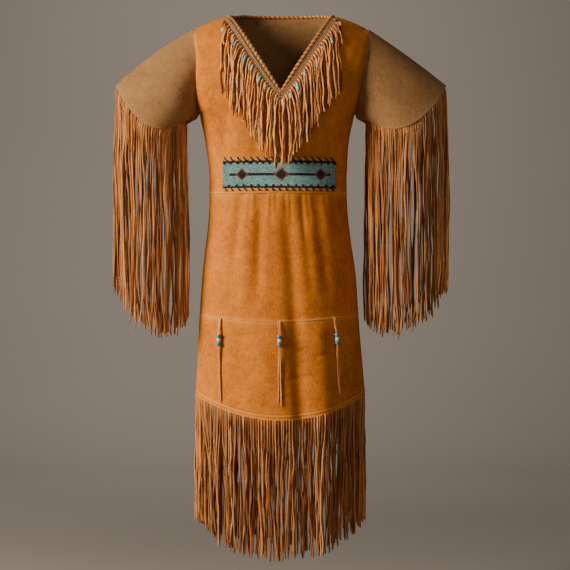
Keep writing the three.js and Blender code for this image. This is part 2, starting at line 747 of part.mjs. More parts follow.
// a rolled edge, a little flatter across the cloth than along it
function rolledLoop(line, sides) {
  const points = line.flatMap(({ point, away, normal, radius }) =>
    range(sides).map((m) => {
      const turn = (2 * Math.PI * (m + 0.5)) / sides;
      return point
        .clone()
        .addScaledVector(away, radius * Math.cos(turn))
        .addScaledVector(normal, 0.8 * radius * Math.sin(turn));
    }),
  );
  const at = (row, column) => (row % line.length) * sides + (column % sides);
  const quads = line.flatMap((_, i) =>
    range(sides).map((m) => [at(i, m), at(i, m + 1), at(i + 1, m + 1), at(i + 1, m)]),
  );
  return closedBody(points, quads);
}

add("neck_binding", rolledLoop(bindingLine(), bindingSides), laceSuede);

// ---------- beaded belt panel, its laced edges and the hip welt ----------
const beltMiddle = -4;
const beltHalf = 132;
const beltTop = -342;
const beltFoot = -400;
const beltThickness = 2.4;
const beltRows = 3;
const laceHeight = 7;
const laceStitches = 17;
const lacing = { low: 2.2, high: 4.4 }; // thickness between and at the stitches
const beltEnds = [beltMiddle - beltHalf, beltMiddle + beltHalf];

// The panel takes the bodice's own columns between its two ends.
function beadPanel() {
  const [start, end] = beltEnds.map((x) => turnAt(x, beltTop));
  const narrowest = 2 * degrees; // of its columns
  const within = bodiceTurns(-1).filter((turn) => turn > start + narrowest && turn < end - narrowest);
  const places = range(beltRows + 1).map((n) => {
    const level = lerp(beltFoot, beltTop, n / beltRows);
    const inner = within.map((turn) => acrossAt(turn, level));
    return [beltEnds[0], ...inner, beltEnds[1]].map((x) => ({ x, level }));
  });
  return stripOnFront(places, beltThickness);
}
add("bead_panel", beadPanel(), beadwork);

// A laced edge swells at each stitch.
function lacedEdge(foot) {
  const count = 2 * laceStitches;
  const places = range(count + 1).map((n) => lerp(beltEnds[0], beltEnds[1], n / count));
  const row = (level, lift) =>
    places.map((x, n) => {
      const { point, normal } = frontAt(x, level);
      return point.addScaledVector(normal, lift(n));
    });
  const swell = (n) => layGap + (n % 2 ? lacing.high : lacing.low);
  const outer = [row(foot, swell), row(foot + laceHeight, swell)];
  const inner = [row(foot, () => layGap), row(foot + laceHeight, () => layGap)];
  return wallBetween(outer, inner);
}

add("belt_lacing_top", lacedEdge(beltTop + seamGap), laceSuede);
add("belt_lacing_bottom", lacedEdge(beltFoot - laceHeight - seamGap), laceSuede);

const weltHeight = 3.6;
const weltInset = 1; // columns of the skirt left bare at each side seam

function hipWelt() {
  const turns = evenTurns(-1, skirtColumns).slice(weltInset, -weltInset);
  const places = [0, weltHeight].map((rise) =>
    turns.map((turn) => {
      const level = hipAt(turn) + seamGap + rise;
      return { x: acrossAt(turn, level), level };
    }),
  );
  return stripOnFront(places, wall);
}
add("hip_welt", hipWelt(), cognacSuede);

// ---------- thong ties and their beads ----------
const thongWidth = 2.8;
const thongThickness = 2;
const thongApart = 3.2; // between the middles of a pair
const thongTab = 6;
const beadBore = 4.1;
const beadRadius = 6.1;
const beadHeight = 7;
const beadStandoff = beadRadius + 0.7; // from the skirt to the middle of a bead

// x: at the root; drift: how far the tip hangs to the side; tip: its level; beads: levels of the beads
const ties = [
  { name: "right", x: -139, drift: -1, tip: -902, beads: [-747, -765] },
  { name: "middle", x: -4, drift: 2, tip: -911, beads: [-751, -769] },
  { name: "left", x: 122, drift: 10, tip: -886, beads: [-746, -763] },
];

function tie({ x, drift, tip, beads }) {
  const root = hipAt(turnAt(x, hipLevel)) - seamGap / 2;
  const half = thongApart / 2;
  const places = [
    -half - thongWidth / 2 - 0.8,
    -half - thongWidth / 2,
    -half + thongWidth / 2,
    half - thongWidth / 2,
    half + thongWidth / 2,
    half + thongWidth / 2 + 0.8,
  ];
  const edges = places.map((place) => {
    const corner = (fall) => {
      const level = hipAt(turnAt(x + place, hipLevel)) - seamGap - fall;
      const { point, normal } = frontAt(x + place, level);
      point.addScaledVector(normal, layGap + thongThickness);
      return { point, normal };
    };
    const upper = corner(0);
    const lower = corner(thongTab);
    return { top: upper.point, bottom: lower.point, outTop: upper.normal, outBottom: lower.normal };
  });
  const stops = [
    { level: beads[0] + beadHeight, stand: beadStandoff },
    { level: beads[1] - beadHeight, stand: beadStandoff },
    { level: beads[1] - 45, stand: 4.2 },
    { level: tip, stand: 3.4 },
  ];
  const ringOf = (strand, _, n) => {
    const { level, stand } = stops[n - 1];
    const fallen = (root - level) / (root - tip);
    const apart = (strand - 0.5) * (thongApart + (n > 2 ? 1.2 * (n - 2) : 0));
    const last = n === stops.length ? -6 * strand : 0;
    const middle = x + drift * fallen;
    const { point, normal } = frontAt(middle, level);
    const out = normal.setZ(0).normalize();
    point.addScaledVector(out, stand).addScaledVector(zAxis, last);
    const across = new THREE.Vector3(-out.y, out.x, 0);
    const corner = (a, b) =>
      point
        .clone()
        .addScaledVector(across, apart + (a * thongWidth) / 2)
        .addScaledVector(out, (b * thongThickness) / 2);
    return [corner(-1, 1), corner(1, 1), corner(1, -1), corner(-1, -1)];
  };
  return comb({ edges, closed: false, rings: stops.length, ringOf, thickness: thongThickness });
}

const beadProfile = [
  [beadBore, -0.5],
  [beadRadius - 0.9, -0.5],
  [beadRadius, -0.2],
  [beadRadius, 0.2],
  [beadRadius - 0.9, 0.5],
  [beadBore, 0.5],
  [beadBore, -0.5],
].map(([radius, share]) => new THREE.Vector2(radius, share * beadHeight));
const beadFacets = 8;

function bead({ x, drift, tip }, level) {
  const root = hipAt(turnAt(x, hipLevel)) - seamGap / 2;
  const middle = x + (drift * (root - level)) / (root - tip);
  const { point, normal } = frontAt(middle, level);
  point.addScaledVector(normal.setZ(0).normalize(), beadStandoff);
  const lathe = new THREE.LatheGeometry(beadProfile, beadFacets);
  lathe.rotateX(Math.PI / 2);
  lathe.translate(point.x, point.y, point.z);
  return lathe;
}

for (const each of ties) {
  add(`thong_${each.name}`, tie(each), fringeSuede);
  each.beads.forEach((level, n) => add(`bead_${each.name}_${n + 1}`, bead(each, level), turquoise));
}

export default dress;
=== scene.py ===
"""A fringed suede dress, filled out as it is when worn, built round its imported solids.

Lengths and levels in the tables are in millimetres, in the frame's own axes: +Z up, the front
towards -Y and the wearer's left towards +X. Meshes are made in metres.
"""

import math

import bpy
import numpy as np
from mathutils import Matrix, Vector


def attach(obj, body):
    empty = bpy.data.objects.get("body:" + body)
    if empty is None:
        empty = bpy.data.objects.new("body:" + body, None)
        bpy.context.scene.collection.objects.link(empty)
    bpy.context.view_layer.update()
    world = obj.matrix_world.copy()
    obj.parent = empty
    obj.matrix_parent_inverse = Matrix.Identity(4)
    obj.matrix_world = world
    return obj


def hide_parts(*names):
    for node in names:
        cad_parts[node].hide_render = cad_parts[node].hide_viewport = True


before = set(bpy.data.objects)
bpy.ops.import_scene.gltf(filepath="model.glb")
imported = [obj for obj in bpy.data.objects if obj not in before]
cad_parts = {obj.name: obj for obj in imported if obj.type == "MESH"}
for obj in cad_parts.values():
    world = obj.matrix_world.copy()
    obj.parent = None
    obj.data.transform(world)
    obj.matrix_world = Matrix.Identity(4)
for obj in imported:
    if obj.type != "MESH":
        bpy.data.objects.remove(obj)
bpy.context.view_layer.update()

MM = 0.001
FRONT, BACK = -1, 1
LEFT, RIGHT = 1, -1  # the wearer's
SIDES = (("front", FRONT), ("back", BACK))
HANDS = (("left", LEFT), ("right", RIGHT))


# ---------- camera ----------
# all in metres
CAMERA_AWAY = 4.5  # before the dress
CAMERA_ACROSS = 0.0094  # towards the wearer's left
CAMERA_LEVEL = -0.630
CAMERA_REACH = 60
VIEW_WIDTH = 1.3395  # what the picture takes in, at the dress's sides


def camera():
    bpy.ops.object.camera_add(
        location=(CAMERA_ACROSS, -CAMERA_AWAY, CAMERA_LEVEL), rotation=(math.pi / 2, 0, 0)
    )
    made = bpy.context.object
    made.name = "camera"
    made.data.lens = made.data.sensor_width * CAMERA_AWAY / VIEW_WIDTH
    made.data.clip_end = CAMERA_REACH
    bpy.context.scene.camera = made


camera()


# ---------- the form of the dress ----------
# level: height. half: half width at the side seam, or at the armhole above the underarm. lean: how
# far the middle lies towards the wearer's left, below zero as the dress hangs a little to the
# wearer's right. front, back: how far the cloth stands out before and behind the side seam.
FIGURE = {
    "level": [60, -31, -100, -165, -228, -290, -360, -411, -465, -536, -606, -712, -818, -945],
    "half": [205, 205, 197, 191, 182, 169, 162, 161, 163, 171, 180, 187, 194, 203],
    "lean": [0, 0, 0, -6, -9, -9, -7, -6.5, -6, -5.5, -4.5, -4.5, -2.5, -0.5],
    "front": [66, 84, 104, 118, 124, 115, 99, 95, 100, 108, 116, 127, 139, 151],
    "back": [70, 86, 97, 99, 99, 94, 87, 88, 96, 110, 121, 132, 142, 152],
}
# half the neck's width, and the level of the V's lowest point
NECK_HALF, V_LEVEL = 125.5, -196
# how far the back's edge stands above the neck points, and how far the shoulder line is drawn up
# over the neck there, so that the back stays full up to its edge
BACK_NECK_RISE, BACK_NECK_BOW = 6, 60
# half the shoulders' width, their drop from neck point to tip, the power of the curve between the
# two, and how far below that curve the cloth is still rounding over
SHOULDER_HALF, SHOULDER_DROP, SHOULDER_DROOP, SHOULDER_ROUND = 205, 31, 1.35, 62
UNDERARM, ARMHOLE_HALF_DEPTH = -228, 62
WAIST = -419
# the level at the centre, and how much higher the side seams are
HIP, HIP_RISE = -715, 15
HEM, HEM_RISE = -939, 54
WALL = 1.6

# Soft upright folds. top, foot: where each runs, as a share of the half width. start, end: its
# levels. Depth is inwards, so a ridge has a negative one.
FOLD_COLUMNS = ("top", "foot", "start", "end", "depth", "width")
FRONT_FOLDS = [
    (-0.80, -0.86, WAIST, -560, 2.0, 12),
    (-0.55, -0.60, WAIST, -640, 4.8, 13),
    (-0.25, -0.28, WAIST, -720, 4.6, 12),
    (0.13, 0.33, -424, -1250, 6.6, 18),
    (0.35, 0.41, WAIST, -700, 2.6, 13),
    (0.55, 0.62, WAIST, -690, 4.2, 14),
    (0.80, 0.83, WAIST, -600, 2.4, 12),
    (-0.45, -0.50, -730, -920, 2.5, 24),
    (-0.66, -0.78, -215, -350, 3.5, 16),
    (0.66, 0.76, -215, -350, 3.5, 16),
    # small gathers at the waist seam
    (-0.68, -0.71, WAIST, -470, 0.9, 5),
    (-0.48, -0.51, WAIST, -470, 1.1, 5),
    (-0.40, -0.43, WAIST, -520, 1.4, 5),
    (-0.32, -0.33, WAIST, -465, 1.1, 4.5),
    (-0.18, -0.19, WAIST, -485, 1.3, 4.5),
    (-0.10, -0.11, WAIST, -520, 1.2, 5),
    (-0.03, -0.03, WAIST, -470, 1.2, 4.5),
    (0.10, 0.11, WAIST, -480, 1.4, 4.5),
    (0.17, 0.19, WAIST, -500, 1.2, 4.5),
    (0.33, 0.37, WAIST, -550, 1.5, 5),
    (0.42, 0.46, WAIST, -500, 1.3, 5),
    (0.49, 0.52, WAIST, -465, 1.0, 5),
    (0.67, 0.71, WAIST, -480, 1.1, 5),
    # long shallow rolls
    (-0.42, -0.47, -450, -740, -2.6, 16),
    (0.50, 0.52, -700, -1060, -7.0, 25),
    (0.19, 0.24, -690, -1250, 3.6, 15),
    (-0.16, -0.20, -740, -910, -1.8, 24),
]
BACK_FOLDS = [
    (-0.74, -0.80, WAIST, -600, 2.8, 12),
    (-0.48, -0.54, WAIST, -690, 4.0, 13),
    (-0.20, -0.23, WAIST, -740, 4.8, 13),
    (0.07, 0.06, WAIST, -650, 3.4, 11),
    (0.32, 0.36, WAIST, -725, 4.6, 13),
    (0.58, 0.65, WAIST, -620, 3.0, 13),
    (0.82, 0.86, WAIST, -560, 2.2, 11),
    (-0.30, -0.34, -720, -930, 3.5, 22),
    (0.42, 0.45, -720, -925, 2.8, 24),
    (0.00, 0.00, -90, -380, 3.5, 20),
    # small gathers at the waist seam
    (-0.62, -0.65, WAIST, -490, 1.3, 5),
    (-0.36, -0.38, WAIST, -510, 1.2, 5),
    (-0.28, -0.29, WAIST, -465, 1.0, 4.5),
    (-0.10, -0.11, WAIST, -470, 1.2, 5),
    (0.00, 0.00, WAIST, -490, 1.3, 4.5),
    (0.19, 0.20, WAIST, -500, 1.4, 5),
    (0.26, 0.27, WAIST, -465, 1.0, 4.5),
    (0.45, 0.48, WAIST, -480, 1.2, 5),
    (0.70, 0.73, WAIST, -500, 1.2, 5),
    # long shallow rolls
    (-0.06, -0.08, -460, -716, -1.8, 15),
    (0.20, 0.23, -480, -716, -1.7, 13),
    (-0.38, -0.42, -500, -716, -1.6, 15),
    (0.05, 0.08, -720, -900, 2.2, 20),
]

# Creases between two places, each given by its distance from the centre line and its level.
CREASE_COLUMNS = ("x_start", "start", "x_end", "end", "depth", "width")
FRONT_CREASES = [
    (-184, -196, -128, -172, 1.6, 9),
    (-168, -222, -118, -330, 4.8, 8),
    (-160, -236, -92, -300, 3.2, 7),
    (-166, -205, -128, -262, 1.4, 6),
    (168, -222, 124, -326, 4.0, 9),
    (160, -238, 96, -306, 2.8, 8),
    (166, -204, 132, -256, 1.4, 6),
    (-120, -250, -112, -345, 1.4, 8),
    (-64, -262, -60, -340, 2.0, 9),
    (58, -268, 62, -340, 2.2, 9),
    (112, -258, 118, -345, 2.4, 10),
    (-186, -66, -150, -150, 1.5, 10),
    (188, -66, 156, -150, 1.5, 10),
    (-146, -366, -158, -396, 1.2, 6),
    (148, -360, 156, -396, 1.2, 6),
    (-150, -560, -64, -604, 1.4, 8),
    (-132, -500, -70, -520, 1.0, 7),
    (100, -560, 150, -610, 1.2, 8),
    (14, -846, 84, -838, 2.2, 6),
    (-98, -800, -30, -812, 1.8, 7),
    (64, -800, 128, -786, 1.9, 7),
    (-150, -846, -88, -858, 1.0, 6),
    (-60, -884, 22, -892, 1.2, 6),
]
BACK_CREASES = [
    (-164, -222, -104, -330, 2.4, 8),
    (164, -222, 110, -322, 2.4, 8),
    (-158, -240, -92, -292, 1.5, 7),
    (156, -238, 94, -300, 1.6, 7),
    (-120, -60, -60, -110, 1.4, 9),
    (118, -62, 58, -116, 1.4, 9),
    (-52, -372, 40, -384, 1.6, 6),
    (-70, -350, 66, -356, 1.2, 6),
    (-110, -560, -40, -590, 1.3, 8),
    (60, -540, 130, -580, 1.3, 8),
    (-90, -820, 0, -812, 1.4, 6),
    (40, -850, 120, -838, 1.4, 6),
]


def smoothstep(value, low, high):
    share = np.clip((value - low) / (high - low), 0, 1)
    return share * share * (3 - 2 * share)


def lerp(start, end, share):
    return start + (end - start) * share


def unit(ways):
    return ways / np.linalg.norm(ways, axis=-1, keepdims=True)


def dot(a, b):
    return np.sum(a * b, axis=-1, keepdims=True)


def vectors(x, y, z):
    return np.stack(np.broadcast_arrays(x, y, z), axis=-1).astype(float)


def figure_at(level, column):
    """A smooth curve through one column of the figure."""
    levels = np.array(FIGURE["level"], float)
    values = np.array(FIGURE[column], float)
    slopes = np.empty_like(values)
    slopes[1:-1] = (values[2:] - values[:-2]) / (levels[2:] - levels[:-2])
    slopes[0] = (values[1] - values[0]) / (levels[1] - levels[0])
    slopes[-1] = (values[-1] - values[-2]) / (levels[-1] - levels[-2])
    level = np.clip(np.asarray(level, float), levels[-1], levels[0])
    end = np.clip(np.searchsorted(-levels, -level), 1, len(levels) - 1)
    start = end - 1
    span = levels[end] - levels[start]
    share = (level - levels[start]) / span
    square, cube = share**2, share**3
    return (
        (2 * cube - 3 * square + 1) * values[start]
        + (cube - 2 * square + share) * span * slopes[start]
        + (3 * square - 2 * cube) * values[end]
        + (cube - square) * span * slopes[end]
    )


def across_at(turn, level):
    return figure_at(level, "lean") + figure_at(level, "half") * np.sin(turn)


def turn_at(x, level):
    share = (x - figure_at(level, "lean")) / figure_at(level, "half")
    return np.arcsin(np.clip(share, -0.995, 0.995))


def shoulder_line(x, side):
    past = (np.abs(x) - NECK_HALF) / (SHOULDER_HALF - NECK_HALF)
    drop = -SHOULDER_DROP * np.clip(past, 0, 1) ** SHOULDER_DROOP
    bow = BACK_NECK_BOW * (1 - (x / NECK_HALF) ** 2) if side == BACK else 0.0 * x
    return np.where(past >= 0, drop, bow)


def armhole_depth(turn, level):
    """How far from the middle plane the cloth starts at the armhole.

    Away from the armhole this fades more softly, towards the underarm and the shoulder."""
    middle, half = (UNDERARM - SHOULDER_DROP) / 2, (-SHOULDER_DROP - UNDERARM) / 2
    share = (level - middle) / half
    edge = np.sqrt(np.clip(1 - share**2, 0, 1))
    soft = np.clip(1 - (share / 1.14) ** 2, 0, 1) ** 1.25
    return ARMHOLE_HALF_DEPTH * lerp(soft, edge, smoothstep(np.abs(turn), 0.9, math.pi / 2))


def fold_depth(side, share, level):
    """How far the folds and creases draw the cloth in at each place."""
    depth = np.zeros(np.broadcast(share, level).shape)
    half = figure_at(level, "half")
    for row in FRONT_FOLDS if side == FRONT else BACK_FOLDS:
        fold = dict(zip(FOLD_COLUMNS, row))
        run = (fold["start"] - level) / (fold["start"] - fold["end"])
        gathered = 0.06 if fold["start"] == WAIST else 0
        fade = smoothstep(run + gathered, 0, 0.12) * (1 - smoothstep(run, 0.55, 1)) * (run >= 0)
        away = (share - lerp(fold["top"], fold["foot"], run)) * half / fold["width"]
        depth += fold["depth"] * fade * np.exp(-(away**2))
    x = figure_at(level, "lean") + share * half
    for row in FRONT_CREASES if side == FRONT else BACK_CREASES:
        crease = dict(zip(CREASE_COLUMNS, row))
        along = np.array(
            [crease["x_end"] - crease["x_start"], crease["end"] - crease["start"]], float
        )
        length = np.hypot(*along)
        along /= length
        from_x, from_level = x - crease["x_start"], level - crease["start"]
        run = (from_x * along[0] + from_level * along[1]) / length
        away = (from_x * along[1] - from_level * along[0]) / crease["width"]
        bend = 0.35 * np.sin(math.pi * np.clip(run, 0, 1))
        fade = smoothstep(run, -0.1, 0.3) * (1 - smoothstep(run, 0.6, 1.1))
        depth += crease["depth"] * fade * np.exp(-((away + bend) ** 2))
    return depth


def way_out(side, turn, level):
    half, depth = figure_at(level, "half"), figure_at(level, "front" if side == FRONT else "back")
    return unit(vectors(np.sin(turn) / half, side * np.cos(turn) / depth, 0.0))


def body_point(side, turn, level):
    """The outside of the dress. turn is 0 at the centre and a quarter turn at each side seam."""
    turn, level = np.broadcast_arrays(np.asarray(turn, float), np.asarray(level, float))
    depth = figure_at(level, "front" if side == FRONT else "back")
    x = across_at(turn, level)
    rounding = np.clip((shoulder_line(x, side) - level) / SHOULDER_ROUND, 0, 1)
    full_depth = depth * np.sqrt(1 - (1 - rounding) ** 2)
    edge = armhole_depth(turn, level)
    y = side * (edge + (full_depth - edge) * np.clip(np.cos(turn), 0, 1) ** 0.9)
    drawn_in = fold_depth(side, np.sin(turn), level)
    return vectors(x, y, level) - way_out(side, turn, level) * drawn_in[..., None]


def body_normal(side, turn, level):
    across = body_point(side, turn + 0.01, level) - body_point(side, turn - 0.01, level)
    along = body_point(side, turn, level + 2) - body_point(side, turn, level - 2)
    return unit(np.cross(across, along) * -side)


def on_front(x, level, lift):
    """Places that lie a little above the front, and the way out there."""
    x, level, lift = np.broadcast_arrays(*(np.asarray(value, float) for value in (x, level, lift)))
    turn = turn_at(x, level)
    normal = body_normal(FRONT, turn, level)
    return body_point(FRONT, turn, level) + normal * lift[..., None], normal


def hip_at(turn):
    return HIP + HIP_RISE * np.sin(turn) ** 2


def hem_at(turn):
    return HEM + HEM_RISE * np.sin(turn) ** 2


def neck_edge(side, x):
    inward = 1 - np.abs(x) / NECK_HALF
    cut = V_LEVEL * inward if side == FRONT else BACK_NECK_RISE * smoothstep(inward, 0, 0.3)
    return np.where(inward > 0, cut, shoulder_line(x, side))


ABOVE_NECK = 20.0  # a level that no part of the neck's edge reaches
HALVINGS = 40


def top_of(side, turn):
    """The level at which each column of the bodice meets the neck edge or the shoulder seam."""
    low, high = np.full(turn.shape, float(UNDERARM)), np.full(turn.shape, ABOVE_NECK)
    for _ in range(HALVINGS):
        middle = (low + high) / 2
        under = middle < neck_edge(side, across_at(turn, middle))
        low, high = np.where(under, middle, low), np.where(under, high, middle)
    return low


# ---------- materials ----------
def linear(hex_colour):
    """An sRGB hex value as linear red, green, blue and alpha."""
    parts = [int(hex_colour[n : n + 2], 16) / 255 for n in (1, 3, 5)]
    return [p / 12.92 if p <= 0.04045 else ((p + 0.055) / 1.055) ** 2.4 for p in parts] + [1.0]


def add_node(tree, kind, inputs=(), **settings):
    """Adds a node. inputs pairs its sockets with values or with the sockets that feed them."""
    made = tree.nodes.new(kind)
    for name, value in settings.items():
        setattr(made, name, value)
    for socket, value in dict(inputs).items():
        if isinstance(value, bpy.types.NodeSocket):
            tree.links.new(value, made.inputs[socket])
        else:
            made.inputs[socket].default_value = value
    return made


def new_material(name):
    made = bpy.data.materials.new(name)
    made.use_nodes = True
    tree = made.node_tree
    return made, tree, tree.nodes["Principled BSDF"]


# sockets by number, as a Mix node and a Map Range node have several of one name
MIX_SHARE, MIX_A, MIX_B, MIX_RESULT = 0, 6, 7, 2
RANGE_VALUE, FROM_LOW, FROM_HIGH, TO_LOW, TO_HIGH = 0, 1, 2, 3, 4


def suede(name, tones, nap=1.0, sheen=0.2):
    """Split hide brushed to a short nap. tones: shade, body, rubbed, as hex values.

    The hide takes dye unevenly, in patches a hand wide and in finger-wide clouds. Nap brushed flat
    in one place and raised in the next gives small flecks, drawn here at 3 mm so that they show."""
    made, tree, shader = new_material(name)
    place = add_node(tree, "ShaderNodeTexCoord").outputs["Object"]
    patches = add_node(
        tree,
        "ShaderNodeTexNoise",
        {"Vector": place, "Scale": 9.0, "Detail": 4.0, "Roughness": 0.55},
    )
    clouds = add_node(
        tree,
        "ShaderNodeTexNoise",
        {"Vector": place, "Scale": 42.0, "Detail": 5.0, "Roughness": 0.65, "Distortion": 0.6},
    )
    brushed = add_node(tree, "ShaderNodeMapping", {"Vector": place, "Scale": (1.0, 1.0, 0.45)})
    flecks = add_node(
        tree,
        "ShaderNodeTexNoise",
        {"Vector": brushed.outputs[0], "Scale": 330.0, "Detail": 4.0, "Roughness": 0.7},
    )
    pores = add_node(
        tree, "ShaderNodeTexVoronoi", {"Vector": place, "Scale": 620.0, "Randomness": 1.0}
    )
    both = add_node(
        tree,
        "ShaderNodeMath",
        {0: patches.outputs["Fac"], 1: clouds.outputs["Fac"]},
        operation="ADD",
    )
    dye = add_node(
        tree,
        "ShaderNodeMapRange",
        {
            RANGE_VALUE: both.outputs[0],
            FROM_LOW: 0.72,
            FROM_HIGH: 1.28,
            TO_LOW: 0.0,
            TO_HIGH: 1.0,
        },
    )
    body = add_node(
        tree,
        "ShaderNodeMix",
        {MIX_SHARE: dye.outputs[0], MIX_A: linear(tones[0]), MIX_B: linear(tones[1])},
        data_type="RGBA",
    )
    raised = add_node(
        tree,
        "ShaderNodeMapRange",
        {
            RANGE_VALUE: flecks.outputs["Fac"],
            FROM_LOW: 0.36,
            FROM_HIGH: 0.66,
            TO_LOW: 0.0,
            TO_HIGH: 0.34 * nap,
        },
    )
    napped = add_node(
        tree,
        "ShaderNodeMix",
        {MIX_SHARE: raised.outputs[0], MIX_A: body.outputs[MIX_RESULT], MIX_B: linear(tones[2])},
        data_type="RGBA",
    )
    rub = add_node(tree, "ShaderNodeAttribute", attribute_name="rub")
    worn = add_node(
        tree,
        "ShaderNodeMapRange",
        {
            RANGE_VALUE: rub.outputs["Fac"],
            FROM_LOW: 0.0,
            FROM_HIGH: 1.0,
            TO_LOW: 0.0,
            TO_HIGH: 0.55,
        },
    )
    edged = add_node(
        tree,
        "ShaderNodeMix",
        {MIX_SHARE: worn.outputs[0], MIX_A: napped.outputs[MIX_RESULT], MIX_B: linear(tones[2])},
        data_type="RGBA",
    )
    tree.links.new(edged.outputs[MIX_RESULT], shader.inputs["Base Color"])
    soft = add_node(
        tree,
        "ShaderNodeBump",
        {"Height": clouds.outputs["Fac"], "Strength": 0.35, "Distance": 0.0022},
    )
    rough = add_node(
        tree,
        "ShaderNodeBump",
        {
            "Height": flecks.outputs["Fac"],
            "Strength": 0.55 * nap,
            "Distance": 0.0011,
            "Normal": soft.outputs[0],
        },
    )
    grained = add_node(
        tree,
        "ShaderNodeBump",
        {
            "Height": pores.outputs["Distance"],
            "Strength": 0.25 * nap,
            "Distance": 0.0005,
            "Normal": rough.outputs[0],
        },
    )
    tree.links.new(grained.outputs[0], shader.inputs["Normal"])
    shader.inputs["Roughness"].default_value = 0.92
    shader.inputs["Specular IOR Level"].default_value = 0.06
    shader.inputs["Sheen Weight"].default_value = sheen
    shader.inputs["Sheen Roughness"].default_value = 0.45
    shader.inputs["Sheen Tint"].default_value = linear("#ffd09a")
    return made


def strand_suede(name, tones):
    """Cut thongs: each takes its own shade, from the attribute own. tones: pairs of a place from 0
    to 1 and the shade there, as some thongs show their grain side and some their flesh side."""
    made, tree, shader = new_material(name)
    place = add_node(tree, "ShaderNodeTexCoord").outputs["Object"]
    nap = add_node(
        tree,
        "ShaderNodeTexNoise",
        {"Vector": place, "Scale": 260.0, "Detail": 3.0, "Roughness": 0.65},
    )
    own = add_node(tree, "ShaderNodeAttribute", attribute_name="own")
    fleck = add_node(
        tree,
        "ShaderNodeMapRange",
        {
            RANGE_VALUE: nap.outputs["Fac"],
            FROM_LOW: 0.3,
            FROM_HIGH: 0.7,
            TO_LOW: -0.1,
            TO_HIGH: 0.1,
        },
    )
    varied = add_node(
        tree, "ShaderNodeMath", {0: own.outputs["Fac"], 1: fleck.outputs[0]}, operation="ADD"
    )
    body = add_node(tree, "ShaderNodeValToRGB", {"Fac": varied.outputs[0]})
    ramp = body.color_ramp
    while len(ramp.elements) < len(tones):
        ramp.elements.new(1.0)
    for stop, (share, tone) in zip(ramp.elements, tones):
        stop.position = share
        stop.color = linear(tone)
    tree.links.new(body.outputs["Color"], shader.inputs["Base Color"])
    bump = add_node(
        tree,
        "ShaderNodeBump",
        {"Height": nap.outputs["Fac"], "Strength": 0.5, "Distance": 0.0009},
    )
    tree.links.new(bump.outputs[0], shader.inputs["Normal"])
    shader.inputs["Roughness"].default_value = 0.88
    shader.inputs["Specular IOR Level"].default_value = 0.2
    shader.inputs["Sheen Weight"].default_value = 0.2
    shader.inputs["Sheen Roughness"].default_value = 0.5
    shader.inputs["Sheen Tint"].default_value = linear("#ffd9ad")
    return made


# painted shade for what lies between two turns of lace
GROOVE_PAINTED_SHADE = "#4a2810"


def smooth_leather(name, tones, roughness):
    """Lace and cut edges: closer and a little glossier than the nap, with small dye clouds. Painted
    shade darkens what lies between two turns of lace, where an attribute marks it."""
    made, tree, shader = new_material(name)
    place = add_node(tree, "ShaderNodeTexCoord").outputs["Object"]
    clouds = add_node(
        tree,
        "ShaderNodeTexNoise",
        {"Vector": place, "Scale": 150.0, "Detail": 4.0, "Roughness": 0.6},
    )
    spread = add_node(
        tree,
        "ShaderNodeMapRange",
        {
            RANGE_VALUE: clouds.outputs["Fac"],
            FROM_LOW: 0.32,
            FROM_HIGH: 0.68,
            TO_LOW: 0.0,
            TO_HIGH: 1.0,
        },
    )
    body = add_node(
        tree,
        "ShaderNodeMix",
        {MIX_SHARE: spread.outputs[0], MIX_A: linear(tones[0]), MIX_B: linear(tones[1])},
        data_type="RGBA",
    )
    groove_shade = add_node(tree, "ShaderNodeAttribute", attribute_name="groove_shade")
    shaded = add_node(
        tree,
        "ShaderNodeMix",
        {
            MIX_SHARE: groove_shade.outputs["Fac"],
            MIX_A: body.outputs[MIX_RESULT],
            MIX_B: linear(GROOVE_PAINTED_SHADE),
        },
        data_type="RGBA",
    )
    tree.links.new(shaded.outputs[MIX_RESULT], shader.inputs["Base Color"])
    bump = add_node(
        tree,
        "ShaderNodeBump",
        {"Height": clouds.outputs["Fac"], "Strength": 0.4, "Distance": 0.0006},
    )
    tree.links.new(bump.outputs[0], shader.inputs["Normal"])
    shader.inputs["Roughness"].default_value = roughness
    shader.inputs["Specular IOR Level"].default_value = 0.3
    return made


def beads_of_glass(name):
    """Opaque drawn glass: smooth and glossy, each bead coloured through in its own shade, which the
    attribute bead_colour gives."""
    made, tree, shader = new_material(name)
    colour = add_node(tree, "ShaderNodeAttribute", attribute_name="bead_colour")
    place = add_node(tree, "ShaderNodeTexCoord").outputs["Object"]
    cloud = add_node(tree, "ShaderNodeTexNoise", {"Vector": place, "Scale": 420.0, "Detail": 2.0})
    value = add_node(
        tree,
        "ShaderNodeMapRange",
        {
            RANGE_VALUE: cloud.outputs["Fac"],
            FROM_LOW: 0.3,
            FROM_HIGH: 0.7,
            TO_LOW: 0.82,
            TO_HIGH: 1.14,
        },
    )
    shaded = add_node(
        tree,
        "ShaderNodeHueSaturation",
        {"Color": colour.outputs["Color"], "Value": value.outputs[0]},
    )
    tree.links.new(shaded.outputs[0], shader.inputs["Base Color"])
    shader.inputs["Roughness"].default_value = 0.3
    shader.inputs["IOR"].default_value = 1.51
    shader.inputs["Coat Weight"].default_value = 0.35
    shader.inputs["Coat Roughness"].default_value = 0.12
    return made


# Grain side brushed to a nap: warm cognac, deeper where the dye pools and paler where rubbed.
COGNAC_SUEDE = suede("cognac suede", ("#924a12", "#c4701f", "#e79c44"), sheen=0.05)
# The flesh side of the same hide, turned out on the sleeves: duller, greyer and longer in the nap.
FLESH_SUEDE = suede("flesh side suede", ("#664525", "#8f6136", "#ad7f50"), nap=1.5, sheen=0.3)
# The flesh side as it is seen inside the dress: less dye took there, so it is greyer and fuzzier.
INSIDE_SUEDE = suede("inside suede", ("#715030", "#8f6841", "#a27c52"), nap=1.5, sheen=0.2)
# The hide's raw thickness where the knife went through: dry, even and paler than the nap.
CUT_EDGE = smooth_leather("cut leather edge", ("#9a6534", "#c08a50"), 0.8)
